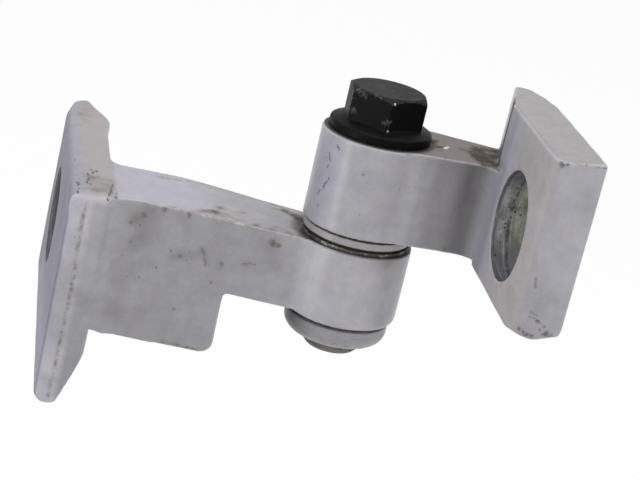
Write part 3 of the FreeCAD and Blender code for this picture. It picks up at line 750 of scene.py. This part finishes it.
def ring_material(name, seed):
    """Thin dull primer on the end ring, streaked round, greasy and shaded at its top, with painted
    shade on its left.
    """
    n = Nodes(name, seed)
    base = painted(n, 0.92, -0.1, 0.4)
    height = n.height()
    rough = n.noise(1.4, 4, 0.65, 1)
    streaks = n.noise(1.0, 3, 0.5, 2, stretch=(0.12, 0.12, 1.0))
    base = n.mix(n.ramp(streaks, 0.5, 0.7, 0.0, 0.3), base, colour(98, 96, 98))
    wavy = n.math("ADD", height, n.swing(rough, 0.5 * MM))
    # Grease and painted shade on the ring's top, under the knuckle.
    grease = n.ramp(wavy, ring_high.z, ring_high.z + 0.25 * MM)
    base = n.cover(base, grease, 0.6, colour(72, 68, 62))
    # Painted shade: the ring's left side is darker.
    left = n.ramp(n.along(PIN, (1, 0, 0)), -10.5 * MM, -4.5 * MM, 0.8, 0.0)
    base = n.mix(left, base, colour(76, 75, 76))
    film = n.ramp(rough, 0.5, 0.68, 0.0, 0.3)
    base = n.mix(film, base, colour(104, 98, 90))
    paint_surface(n, base, n.math("MAXIMUM", grease, film), 0.38)
    n.relief(rough, 0.3, 0.05 * MM)
    return n.material


def bush_material(name, seed):
    """Bare bush steel, shiny in places and olive in others; its lower flange has paint on it, painted
    much lighter than the primer as painted light against the shade of the gap.
    """
    n = Nodes(name, seed)
    blotch = n.noise(1.8, 4, 0.65, 0)
    base = n.mix(n.ramp(blotch, 0.5, 0.62), colour(74, 72, 62), colour(142, 139, 140))
    dark = n.ramp(n.noise(1.1, 3, 0.6, 3), 0.55, 0.63)
    base = n.cover(base, dark, 0.8, colour(46, 44, 40))
    height = n.height()
    # Primer on the lower bush, painted much lighter than the primer: painted light against the shade of
    # the gap under the knuckle.
    primer_and_painted_light = n.ramp(height, low_bush_low.z - 0.05 * MM, low_bush_low.z + 0.05 * MM)
    primer_and_painted_light = n.times(primer_and_painted_light, n.ramp(height, low_bush_high.z, low_bush_high.z + MM, 1.0, 0.0))
    base = n.mix(primer_and_painted_light, base, colour(206, 203, 202))
    n.set("Base Color", base)
    n.set("Metallic", n.ramp(blotch, 0.5, 0.62, 0.3, 0.6))
    n.set("Roughness", n.ramp(blotch, 0.42, 0.6, 0.6, 0.42))
    n.relief(n.noise(0.3, 3, 0.6, 1), 0.3, 0.03 * MM)
    return n.material


# Painted glints: small white spots on the bolt (x, y, z, radius) in mm.
BOLT_PAINTED_GLINTS = [(58.8, -49.0, 45.9, 0.3), (58.7, -49.0, 46.7, 0.16), (59.0, -49.0, 51.4, 0.26)]
BOLT_RUBBED = [
    (52.8, -45.1, 51.6, 0.8), (53.4, -45.8, 51.3, 0.6), (57.7, -48.7, 47.2, 0.55),
    (51.4, -43.4, 46.2, 0.5), (52.2, -44.4, 47.6, 0.9), (55.4, -46.8, 52.0, 0.45),
    (56.2, -47.6, 51.8, 0.4), (52.1, -44.0, 50.0, 0.6), (52.3, -43.8, 51.9, 0.6),
    (51.9, -43.6, 48.6, 0.6), (58.6, -49.0, 47.6, 0.7),
]


def black_material(name, seed):
    """Black coated bolt, smooth and oily, rubbed at a few corners, with a painted sheen on its top face
    and painted glints.
    """
    n = Nodes(name, seed)
    blotch = n.noise(3, 4, 0.65, 0)
    base = n.mix(n.ramp(blotch, 0.35, 0.65), colour(5, 5, 6), colour(9, 9, 9))
    # Painted sheen: the upward-facing top face is lightened.
    base = n.cover(base, n.stored("dust"), n.ramp(blotch, 0.3, 0.7, 0.7, 1.0), colour(28, 28, 30))
    where = n.ragged(0.6, 3)
    wear_and_edge_highlight = n.math("ADD", n.stored("edge"), n.swing(n.noise(1.0, 4, 0.7, 2), 1.4))
    wear_and_edge_highlight = n.ramp(wear_and_edge_highlight, 0.72, 1.0)
    rubbed = marks(n, where, BOLT_RUBBED)
    rubbed = n.times(rubbed, n.ramp(n.noise(0.5, 3, 0.6, 5), 0.35, 0.6))
    bare = n.math("MAXIMUM", n.times(wear_and_edge_highlight, 0.16), n.times(rubbed, 0.55))
    base = n.mix(bare, base, colour(104, 104, 106))
    # Painted glints at a few spots.
    base = n.mix(marks(n, where, BOLT_PAINTED_GLINTS), base, colour(205, 205, 208))
    n.set("Base Color", base)
    n.set("Roughness", n.ramp(blotch, 0.3, 0.7, 0.4, 0.52))
    n.set("Specular IOR Level", 0.07)
    n.relief(n.noise(0.3, 3, 0.6, 1), 0.2, 0.02 * MM)
    return n.material


# Shapes of the skins

def deepen_arm(obj):
    """Let the deep part of the pillar leaf's arm hang a little lower."""
    co = positions(obj.data)
    x, _, z = (co / MM).T
    mask = step(-z, 5.0, 8.0) * step(x, 9.0, 12.0) * step(x, 38.0, 34.0)
    co[:, 2] -= ARM_DROP * mask
    move_points(obj, co)


def swell_flange(obj):
    """Round the flange's top back corner, lean its back edge and lower its foot."""
    co = positions(obj.data)
    x, y, z = (co / MM).T
    corner = np.exp(-((y - 13.5) / 5.5) ** 2) * step(x, 2.6, 5.0) * step(x, 9.6, 9.2)
    co[:, 0] += FLANGE_CORNER_SWELL * (corner * step(z, 11.0, 18.5))
    dome = np.exp(-((x - 4.8) / 2.6) ** 2) * step(z, 15.0, 19.5) * step(y, 12.0, 24.0)
    co[:, 2] += FLANGE_DOME * dome
    co[:, 1] += FLANGE_LEAN * step(z, -5.0, -22.0) * step(y, 8.0, 24.0)
    rim = step(x, 3.0, 0.8) * step(y, 10.0, 26.0) * step(z, -4.0, 6.0)
    co[:, 1] -= 0.7 * FLANGE_LEAN * rim
    co[:, 2] -= FLANGE_DROP * step(z, -22.0, -28.0) * step(x, 14.0, 11.0)
    move_points(obj, co)


def bulge_arm_back(obj):
    """Let the back of the pillar leaf's arm stand out in its middle."""
    co = positions(obj.data)
    x, y, _ = (co / MM).T
    mask = np.exp(-((x - 26.0) / 11.0) ** 2) * step(y, -36.0, -28.0) * step(x, 9.5, 11.0)
    co[:, 1] += ARM_BACK_BULGE * mask * step(y, -8.0, -14.0)
    move_points(obj, co)


def swell_knuckle(obj):
    """Let the free side of the lower knuckle stand out a little."""
    co = positions(obj.data)
    flat = (co[:, :2] - np.array(PIN.xy)) / MM
    away = np.linalg.norm(flat, axis=1)
    mask = step(away, 9.0, 11.0) * step(away, 13.0, 12.4) * step(flat[:, 0], 0.0, 8.0)
    co[:, :2] += flat / away[:, None] * (KNUCKLE_SWELL * mask)[:, None]
    move_points(obj, co)


def round_block_edge(obj):
    """Round the block's front inner edge more and more towards its bottom."""
    co = positions(obj.data)
    across = np.array(door_axis)
    ahead = np.array((-door_axis.y, door_axis.x, 0.0))
    flat = (co - np.array(PIN)) / MM
    a, b, c = flat @ across, flat @ ahead, co[:, 2] / MM
    block = b < (door_hole - PIN) @ Vector(ahead) / MM - bolt_hole_r / MM
    a -= a[block].min()
    b -= b[block].min()
    c -= c[block].min()

    radius = BLOCK_LOW_ROUND_MM * step(c, 30.0, 2.0) + BLOCK_LEAST_ROUND_MM
    qa, qb = radius - a, radius - b
    corner = (qa > 0) & (qb > 0) & block
    reach = np.where(corner, np.hypot(qa, qb), 1.0)
    depth = np.where(corner, radius - reach, np.minimum(a, b))
    inward = np.where(
        corner[:, None], np.stack((qa, qb), 1) / reach[:, None],
        np.where((a < b)[:, None], (1.0, 0.0), (0.0, 1.0)),
    )
    move = np.where(corner & (depth < 0), -depth, 0.0)
    depth = depth + move

    small = BLOCK_CORNER_ROUND_MM * step(np.maximum(a, b), 9.0, 4.0) + BLOCK_LEAST_ROUND_MM
    qd, qc = small - depth, small - c
    low = (qd > 0) & (qc > 0) & block
    size = np.where(low, np.hypot(qd, qc), 1.0)
    fit = np.where(low & (size > small), small / size, 1.0)
    move += np.where(low, qd * (1 - fit), 0.0)
    rise = np.where(low, qc * (1 - fit), 0.0)
    shift = inward * move[:, None]
    co += (shift[:, :1] * across + shift[:, 1:] * ahead) * MM
    co[:, 2] += rise * MM
    move_points(obj, co)


def lean_block(obj):
    """Let the block's ends slope upward to its outer side, whose face sits a little further in."""
    co = positions(obj.data)
    across = np.array(door_axis)
    a = ((co - np.array(door_hole)) @ across - bolt_hole_back) / MM
    y, z = co[:, 1] / MM, co[:, 2] / MM
    block = step(a, -0.6, -0.1)
    co[:, 2] -= BLOCK_FOOT_DROP * block * step(z, 25.2, 22.2) * step(a, 11.0, 4.0)
    rise = step(z, 50.0, 55.0) * step(a, 1.0, 9.8) * step(y, -40.0, -52.0)
    co[:, 2] += BLOCK_TOP_RISE * block * rise
    co -= (BLOCK_THINNING * step(a, 3.0, 9.0))[:, None] * across
    move_points(obj, co)


# Pieces

pillar = forged("pillar_leaf", "pillar_leaf_skin", PILLAR_VOXEL)
uneven(pillar, PILLAR_WAVES, 1)
door = forged("door_leaf", "door_leaf_skin", DOOR_VOXEL)
uneven(door, DOOR_WAVES, 2)
bolt = forged("pin_bolt", "pin_bolt_skin", BOLT_VOXEL)
for reshape in (deepen_arm, swell_flange, bulge_arm_back, swell_knuckle):
    reshape(pillar)
for reshape in (round_block_edge, lean_block):
    reshape(door)

ring_bore = min((v.co.xy - PIN.xy).length for v in frame["nodes"]["end_ring"].data.vertices)
ring_r = (ring_high.x - ring_low.x) / 2
ring_bottom = ring_low.z + RING_BOTTOM_CUT
ring = turned("end_ring_skin", rounded_profile([
    (ring_bore, ring_bottom, 0),
    (ring_r, ring_bottom, RING_LOW_ROUND),
    (ring_r, ring_high.z, RING_TOP_ROUND),
    (ring_bore, ring_high.z, 0),
]))

# Grime on the two leaves: soft patches (x, y, z, radius, strength), in mm

PILLAR_DIRT = [
    (47.2, -33.0, 20, 1.9, 1.0), (45.6, -31.4, 20, 1.6, 0.8), (48.2, -35.6, 20, 1.8, 1.2),
    (47.6, -38.4, 20, 1.3, 0.5), (43.2, -31.6, 20, 1.6, 0.4), (44.5, -44.9, 20, 1.4, 0.5),
    (41.0, -44.6, 20, 1.2, 0.6), (38.0, -43.4, 20, 1.2, 0.5), (24.6, -41.2, 20, 1.2, 0.4),
    (27.0, -40.6, 20, 1.4, 0.42), (29.3, -39.3, 20, 1.6, 0.5), (31.5, -36.2, 20, 1.5, 0.42),
    (21.2, -40.2, 20, 1.3, 0.35), (36.2, -36.8, 20, 1.5, 0.32), (5.4, -38.4, 20.8, 1.8, 0.4),
    (7.2, -36.0, 20.8, 1.6, 0.42), (3.9, -30.6, 20.5, 2.2, 0.4), (24.0, -22.2, 20, 1.2, 0.35),
    (30.0, -24.6, 20, 1.0, 0.3),
    (47.9, -43.2, 20, 1.4, 0.7), (46.4, -41.6, 20, 1.6, 0.35), (44.0, -42.2, 20, 1.8, 0.4),
    (41.8, -42.6, 20, 1.8, 0.4), (29.9, -39.6, 20, 2.4, 0.5), (26.6, -39.4, 20, 2.0, 0.42),
    (32.6, -40.2, 20, 2.2, 0.5), (35.4, -42.0, 20, 1.9, 0.5), (38.2, -42.9, 20, 1.8, 0.34),
    (31.0, -35.6, 20, 1.7, 0.35), (34.5, -37.2, 20, 2.2, 0.3), (39.8, -35.0, 20, 1.8, 0.35),
    (20.8, -22.0, 20, 1.8, 0.45), (3.9, 8.0, 20.5, 2.2, 0.4), (3.7, 12.0, 20.6, 2.4, 0.5),
    (3.6, 16.0, 20.8, 2.2, 0.35), (5.5, -31.0, 20.5, 3.0, 0.34), (4.0, -36.0, 20.5, 1.8, 0.35),
]
PILLAR_FRONT_DIRT = [(16.0, -39.5, 17.5, 3.4, 0.25), (41.8, -45.5, 17.8, 1.8, 0.4)]
DOOR_DIRT = [
    (79.5, -44.0, 42.8, 3.4, 1.0), (81.0, -48.5, 42.8, 3.0, 1.0), (81.0, -40.0, 42.8, 3.2, 1.0),
    (76.0, -42.0, 42.8, 2.6, 0.5), (79.5, -51.0, 42.8, 2.0, 0.7), (78.5, -47.5, 42.8, 2.2, 0.7),
    (83.5, -44.0, 43.2, 2.6, 1.0), (84.5, -40.0, 43.2, 2.6, 1.0), (82.5, -50.0, 43.0, 2.2, 0.9),
    (69.8, -44.5, 42.8, 1.4, 1.0), (70.2, -41.0, 42.8, 1.4, 0.9), (71.3, -40.0, 42.8, 1.8, 0.9),
    (71.6, -43.5, 42.8, 1.7, 0.95), (71.0, -46.6, 42.8, 1.4, 0.7), (78.0, -36.5, 42.8, 2.4, 0.5),
    (72.5, -38.5, 42.8, 2.0, 0.4), (75.6, -51.5, 24.0, 0.9, 0.5),
]
PILLAR_SMUDGES = [
    (14.6, -39.4, 16.0, 2.2, 0.2), (16.8, -39.8, 18.2, 2.2, 0.17), (14.2, -39.3, 10.6, 2.2, 0.14),
    (13.4, -39.3, 15.6, 1.2, 0.12), (16.1, -39.6, 12.9, 2.4, 0.14), (13.5, -39.5, 2.0, 3.0, 0.1),
    (12.8, -39.5, -5.0, 3.5, 0.14),
    (22.6, -41.1, 9.6, 1.5, 0.12), (24.6, -41.5, 10.2, 1.3, 0.16), (26.3, -41.9, 10.9, 1.1, 0.12),
    (28.6, -42.5, 12.2, 1.3, 0.12), (29.6, -42.7, 10.2, 1.0, 0.1), (32.3, -43.4, 10.5, 1.3, 0.12),
    (37.4, -44.6, 11.6, 1.2, 0.1), (42.6, -45.8, 13.4, 2.6, 0.1), (42.0, -45.6, 17.0, 2.4, 0.1),
    (20.0, -40.6, -3.0, 4.0, 0.06), (26.0, -42.0, -6.0, 4.0, 0.07), (18.0, -40.0, -8.5, 3.0, 0.08),
    (4.6, -33.0, 20.6, 3.6, 0.12), (6.6, -37.8, 20.7, 1.6, 0.3), (4.9, -38.9, 20.7, 1.5, 0.25),
    (7.9, -34.4, 20.6, 1.5, 0.28), (8.4, -31.0, 20.5, 1.3, 0.2), (64.8, -51.9, 19.2, 2.2, 0.3),
    (9.0, 12.0, -12.0, 6.0, 0.1), (9.0, -20.0, 5.0, 6.0, 0.1),
    (0.0, 18.0, -18.0, 7.0, 0.1), (0.0, -26.0, 12.0, 7.0, 0.08), (30.0, -26.0, 8.0, 6.0, 0.1),
    (62.0, -52.8, 19.4, 1.6, 0.14), (3.3, -41.4, 10.0, 2.4, 0.08), (3.3, -41.4, 5.0, 2.4, 0.09),
    (3.6, -40.0, -2.0, 2.4, 0.08), (3.4, -38.0, -12.0, 2.4, 0.07), (3.2, -36.0, -24.0, 2.4, 0.08),
]
DOOR_SMUDGES = [
    (81.7, -70.2, 50.8, 2.4, 0.1), (81.5, -75.0, 50.0, 2.4, 0.1), (81.4, -81.0, 49.0, 2.6, 0.1),
    (81.5, -79.0, 27.0, 2.8, 0.12), (81.4, -83.0, 25.0, 2.4, 0.12), (81.6, -66.0, 24.5, 3.0, 0.08),
    (84.0, -44.6, 54.6, 1.5, 0.3), (84.6, -42.8, 51.0, 1.5, 0.3), (85.2, -40.8, 47.6, 1.5, 0.35),
    (85.7, -39.0, 44.4, 1.5, 0.35), (92.0, -50.0, 30.0, 5.0, 0.1), (92.0, -84.0, 50.0, 5.0, 0.1),
    (60.0, -28.0, 30.0, 5.0, 0.12), (72.0, -36.0, 36.0, 5.0, 0.1), (86.5, -86.9, 30.0, 4.0, 0.08),
    (89.5, -87.0, 48.0, 4.0, 0.06), (66.0, -51.2, 26.0, 4.0, 0.1), (57.0, -52.0, 25.5, 3.0, 0.08),
]


def store_pillar_values(obj):
    """Tone, tint, grime and wear of the pillar leaf, by region; the tone also carries painted shade."""
    co = positions(obj.data) / MM
    no = normals(obj.data)
    x, y, z = co.T
    away = np.hypot(x - PIN.x / MM, y - PIN.y / MM)
    front = step(-no[:, 1], 0.5, 0.85)
    outer = step(-no[:, 0], 0.5, 0.85) * step(x, 1.5, 0.8)
    top = step(no[:, 2], 0.6, 0.9) * step(z, 18.5, 19.5)
    edge = edge_values(obj) * step(x, 8.5, 10.0)
    band = step(x, 4.0, 5.5) * step(x, 12.0, 9.0) * step(y, -30, -34) * step(z, 20, 18)
    knuckle = step(away, 14.5, 12.6)
    smudge = np.clip(1.5 * blobs(co, PILLAR_SMUDGES), 0, 0.45)
    tone = (1 - smudge) * layered(0.95, (
        # Painted shade: the outer face is darker, less so towards its bottom.
        (0.8 + 0.22 * step(z, -8, -20), outer),
        (1.36 - 0.18 * step(z, 12, 0) * step(z, -22, -10), front * step(x, 10.5, 8.0)),
        (1.06 - 0.13 * step(z, 4, -4), band),
        (0.94, front * step(x, 11.0, 14.5) * step(away, 13.5, 17.5)),
        (1.06, front * step(away, 19.0, 15.0)),
        (1.25, knuckle),
        # Painted shade: the knuckle's side that faces +x is darker.
        (1.0, knuckle * step(no[:, 0], 0.15, 0.6)),
        (0.75, top * step(x, 10.0, 9.0)),
        (0.95 - 0.21 * step(x, 22, 42), top * step(x, 9.3, 10.5)),
    ))
    tint = layered(-1.5 * smudge, (
        (0.7, outer),
        (0.2, front * step(x, 3.6, 2.8)),
        (-0.6, top * step(x, 2.6, 3.2) * step(x, 9.6, 9.0)),
        (0.5, top * step(x, 9.6, 11.0) * step(x, 36, 24)),
        (0.5, step(x, 2.6, 1.6) * step(z, 18.0, 19.5)),
    ))
    grease = np.maximum.reduce((
        step(away, 12.6, 12.15) * step(z, 19.6, 19.9),
        # Painted shade: the knuckle's lower edge darkens above the gap to the end ring.
        0.35 * step(away, 11.6, 10.8) * step(z, 3.6, 3.25) * step(z, 0, 2.5),
        0.8 * step(away, 14.4, 12.5) * top * step(x, 50.5, 48.5),
    ))
    dirt = blobs(co, PILLAR_DIRT + PILLAR_FRONT_DIRT) * top + blobs(co, PILLAR_FRONT_DIRT) * front
    smear = smears(co, ARM_TOP_SMEARS) * step(z, 18.8, 19.5)
    seam = smears(co, along_lines((PARTING_LINE, ARM_LOW_LINE), 0.36))
    rim = smears(co, along_lines((OUTER_RIM,), 0.28))
    store(
        obj, tone=tone, tint=tint, dirt=dirt, edge=edge, grease=grease, dull=outer,
        smear=smear, seam=seam, rim=rim,
    )


def store_door_values(obj):
    """Tone, tint, grime and wear of the door leaf, by region; the tone also carries painted shade."""
    co = positions(obj.data) / MM
    no = normals(obj.data)
    x, y, z = co.T
    away = np.hypot(x - PIN.x / MM, y - PIN.y / MM)
    front = step(-no[:, 1], 0.5, 0.85)
    top = step(no[:, 2], 0.6, 0.9)
    arm_top = top * step(z, 41.5, 42.3) * step(z, 44.0, 43.4)
    block_top = top * step(z, 55.0, 55.6)
    arm_front = step(-no[:, 1], 0.2, 0.6) * step(y, -56, -54) * step(x, 68.5, 71.0)
    knuckle = step(away, 14.0, 12.2)
    inner = step(-no[:, 0], 0.6, 0.9) * step(x, 79, 81)
    edge = edge_values(obj)
    smudge = np.clip(blobs(co, DOOR_SMUDGES), 0, 0.4)
    tone = (1 - smudge) * layered(0.95, (
        (1.21, knuckle),
        # Painted shade: the knuckle's sides that face +x and far towards -x are darker.
        (1.06, knuckle * step(no[:, 0], 0.05, 0.5)),
        (1.06, knuckle * step(-no[:, 0], 0.7, 0.95)),
        # Painted shade, partly dirt: the arm's front darkens towards the block, and the fillet where
        # arm meets block is dark too.
        (0.72 - 0.31 * step(x, 73.0, 77.8), arm_front),
        (0.74, step(x, 78.5, 81.2) * step(x, 87, 85) * step(y, -60, -55) * step(z, 46, 43.5)),
        (1.06 + 0.07 * step(y, -66, -84), inner * step(y, -55, -58)),
        (1.1 + 0.1 * step(z, 26, 34), front * step(y, -82, -85)),
        (0.75, block_top),
        (0.38, arm_top),
    ))
    tint = layered(0.1 - 2.0 * smudge, (
        (0.45, knuckle * step(-no[:, 0], 0.55, 0.85)),
        (0.45, step(x, 79.0, 81.0) * step(x, 87, 85) * step(y, -64, -58)),
        (-0.5, inner * step(y, -62, -68)),
        (-0.25, arm_front * step(x, 79.5, 78.5)),
        (-0.5, block_top),
        (-1.0, arm_top),
    ))
    # The block's back inner edge: darkened to a thin dark line, with no light edge and no gloss.
    back_edge = step(no[:, 1], 0.042, 0.14) * step(-no[:, 0], 0.15, 0.5)
    back_edge *= step(x, 80.0, 81.5) * step(z, 43.2, 44.2) * step(y, -56.0, -52.0)
    inward = (positions(obj.data) - np.array(door_hole)) @ np.array(door_axis) - bolt_hole_back
    back_edge *= step(inward / MM, 2.2, 0.6)
    grease = np.maximum.reduce((
        # Painted shade, partly grease: the knuckle top darkens in a ring round the bolt's flange, and
        # the knuckle's underside by the collar.
        step(away, 12.3, 11.2) * step(z, 42.5, 42.75) * step(z, 44, 43),
        0.8 * step(away, 12.0, 11.3) * step(z, 23.6, 23.3),
        0.85 * back_edge,
    ))
    edge *= 1 - back_edge
    dirt = blobs(co, DOOR_DIRT)
    facing_left = step(x, 77.5, 79.0) * step(y, -50, -52) * step(-no[:, 0], 0.1, 0.3)
    dull = 0.5 * block_top + 0.6 * arm_top + back_edge + 0.8 * facing_left
    store(obj, tone=tone, tint=tint, dirt=dirt, edge=edge, grease=grease, dull=dull)


store_pillar_values(pillar)
store_door_values(door)
# Top face of the bolt, which gets the painted sheen.
facing_up = step(normals(bolt.data)[:, 2], 0.8, 0.97)
bolt_top = facing_up * step(positions(bolt.data)[:, 2], bolt_high.z - MM, bolt_high.z)
store(bolt, edge=edge_values(bolt), dust=bolt_top)

pillar.data.materials.append(leaf_material("leaf_paint_pillar", 1.0, pillar_hole, pillar_axis, 0.8, {
    "dots": PILLAR_DOTS, "lines": PILLAR_STROKES, "specks": PILLAR_SPECKS, "brown": PILLAR_BROWN,
}))
door.data.materials.append(leaf_material("leaf_paint_door", 2.0, door_hole, door_axis, 0.0, {
    "dots": DOOR_DOTS, "lines": DOOR_STROKES, "blue": DOOR_BLUE, "chips": DOOR_CHIPS,
    "scratches": DOOR_SCRATCHES,
}))
bolt.data.materials.append(black_material("bolt_black_worn", 3.0))
ring.data.materials.append(ring_material("leaf_paint_ring", 5.0))
for obj, node, body, slot in (
    (pillar, "pillar_leaf", "pillar_side", "leaf_paint"),
    (door, "door_leaf", "door_side", "leaf_paint"),
    (bolt, "pin_bolt", "door_side", "bolt_black"),
    (ring, "end_ring", "door_side", "leaf_paint"),
):
    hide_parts(node)
    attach(obj, body)

bush = bush_material("bush_steel_dark", 6.0)
for node, material in (
    ("hinge_pin", pin_material("pin_paint_grey", 4.0)),
    ("upper_bush", bush),
    ("lower_bush", bush),
):
    frame["nodes"][node].material_slots[0].material = material


# Floor, light and camera

FLOOR_SIDE = 6.0
FLOOR_DROP = 0.09
FLOOR_GREY = (0.75, 0.75, 0.75, 1)
FLOOR_WHITE_SHARE = 0.95
WORLD_COLOUR = (0.95, 0.96, 1.0, 1)
WORLD_STRENGTH = 0.55

scene = bpy.context.scene
scene.view_settings.view_transform = "Standard"

floor_z = pillar_low.z - FLOOR_DROP
floor_mesh = bpy.data.meshes.new("floor")
floor_mesh.from_pydata(
    [(x * FLOOR_SIDE, y * FLOOR_SIDE, floor_z) for x, y in ((-1, -1), (1, -1), (1, 1), (-1, 1))],
    [],
    [(0, 1, 2, 3)],
)
add_object("floor", floor_mesh)


def seen_directly(tree):
    """1 for a ray from the camera, a mirror or through clear things, and 0 for others."""
    path = new_node(tree, "ShaderNodeLightPath")
    seen = path.outputs["Is Transmission Ray"]
    for kind in ("Is Glossy Ray", "Is Camera Ray"):
        either = new_node(tree, "ShaderNodeMath")
        either.operation = "MAXIMUM"
        tree.links.new(path.outputs[kind], either.inputs[0])
        tree.links.new(seen, either.inputs[1])
        seen = either.outputs[0]
    return seen


def mix_shaders(tree, share, first, second):
    """From the first shader to the second as share goes from 0 to 1."""
    node = new_node(tree, "ShaderNodeMixShader")
    for socket, source in zip(node.inputs, (share, first, second)):
        tree.links.new(source, socket)
    return node.outputs[0]


def floor_material():
    """Floor that is white where it is seen directly, keeps a shadow, and is clear from below."""
    material = bpy.data.materials.new("floor_white")
    tree = empty_tree(material)
    diffuse = new_node(tree, "ShaderNodeBsdfDiffuse", Color=FLOOR_GREY).outputs[0]
    glow = new_node(tree, "ShaderNodeEmission", Strength=1.0).outputs[0]
    share = new_node(tree, "ShaderNodeMath")
    share.operation = "MULTIPLY"
    share.inputs[1].default_value = FLOOR_WHITE_SHARE
    tree.links.new(seen_directly(tree), share.inputs[0])
    above = mix_shaders(tree, share.outputs[0], diffuse, glow)
    behind = new_node(tree, "ShaderNodeNewGeometry").outputs["Backfacing"]
    clear = new_node(tree, "ShaderNodeBsdfTransparent").outputs[0]
    new_node(tree, "ShaderNodeOutputMaterial", Surface=mix_shaders(tree, behind, above, clear))
    return material


floor_mesh.materials.append(floor_material())


def world_light():
    """Even pale surroundings, white where they are seen directly."""
    world = bpy.data.worlds.new("studio")
    scene.world = world
    tree = empty_tree(world)
    light = new_node(tree, "ShaderNodeBackground", Color=WORLD_COLOUR, Strength=WORLD_STRENGTH)
    white = new_node(tree, "ShaderNodeBackground", Strength=1.0)
    mixed = mix_shaders(tree, seen_directly(tree), light.outputs[0], white.outputs[0])
    new_node(tree, "ShaderNodeOutputWorld", Surface=mixed)


world_light()


def area_light(name, place, aim, size, power, tint=(1, 1, 1)):
    """Lamp of size metres at place, turned to aim, with power in watts."""
    lamp = bpy.data.lights.new(name, "AREA")
    lamp.shape = "RECTANGLE"
    lamp.size, lamp.size_y = size
    lamp.energy = power
    lamp.color = tint
    obj = add_object(name, lamp)
    obj.location = place
    obj.rotation_euler = (Vector(aim) - Vector(place)).to_track_quat("-Z", "Y").to_euler()
    obj.visible_camera = False
    return obj


LIGHT_AIM = (0.045, -0.035, 0.015)
STRIP_Z = 0.06
area_light("top_light", (0.05, 0.05, 0.75), LIGHT_AIM, (0.7, 0.7), 4.6, (0.97, 0.96, 1.0))
area_light("left_light", (-0.55, -0.55, 0.35), LIGHT_AIM, (0.25, 0.7), 1.5)
area_light("right_light", (0.65, -0.5, 0.3), LIGHT_AIM, (0.35, 0.7), 1.35)
strip = area_light(
    "left_strip", (-0.18, -0.145, STRIP_Z), (PIN.x, PIN.y, STRIP_Z), (0.035, 0.3), 0.27,
)
strip.visible_diffuse = False

# Camera at the photograph's viewing angle
VIEW_RIGHT = Vector((0.965842, -0.147246, 0.213233))
VIEW_UP = Vector((-0.148187, 0.361202, 0.920638))
VIEW_FORWARD = Vector((0.212581, 0.920789, -0.327044))
CAMERA_PLACE = Vector((-0.02412, -0.37165, 0.135551))
LENS_MM = 97.367
SENSOR_MM = 36.0
camera_data = bpy.data.cameras.new("camera")
camera_data.sensor_width = SENSOR_MM
camera_data.lens = LENS_MM
camera_data.clip_start = 0.01
camera_data.clip_end = 50
camera = add_object("camera", camera_data)
turn = Matrix((VIEW_RIGHT, VIEW_UP, -VIEW_FORWARD)).transposed().to_4x4()
camera.matrix_world = Matrix.Translation(CAMERA_PLACE) @ turn
scene.camera = camera

bpy.context.view_layer.update()
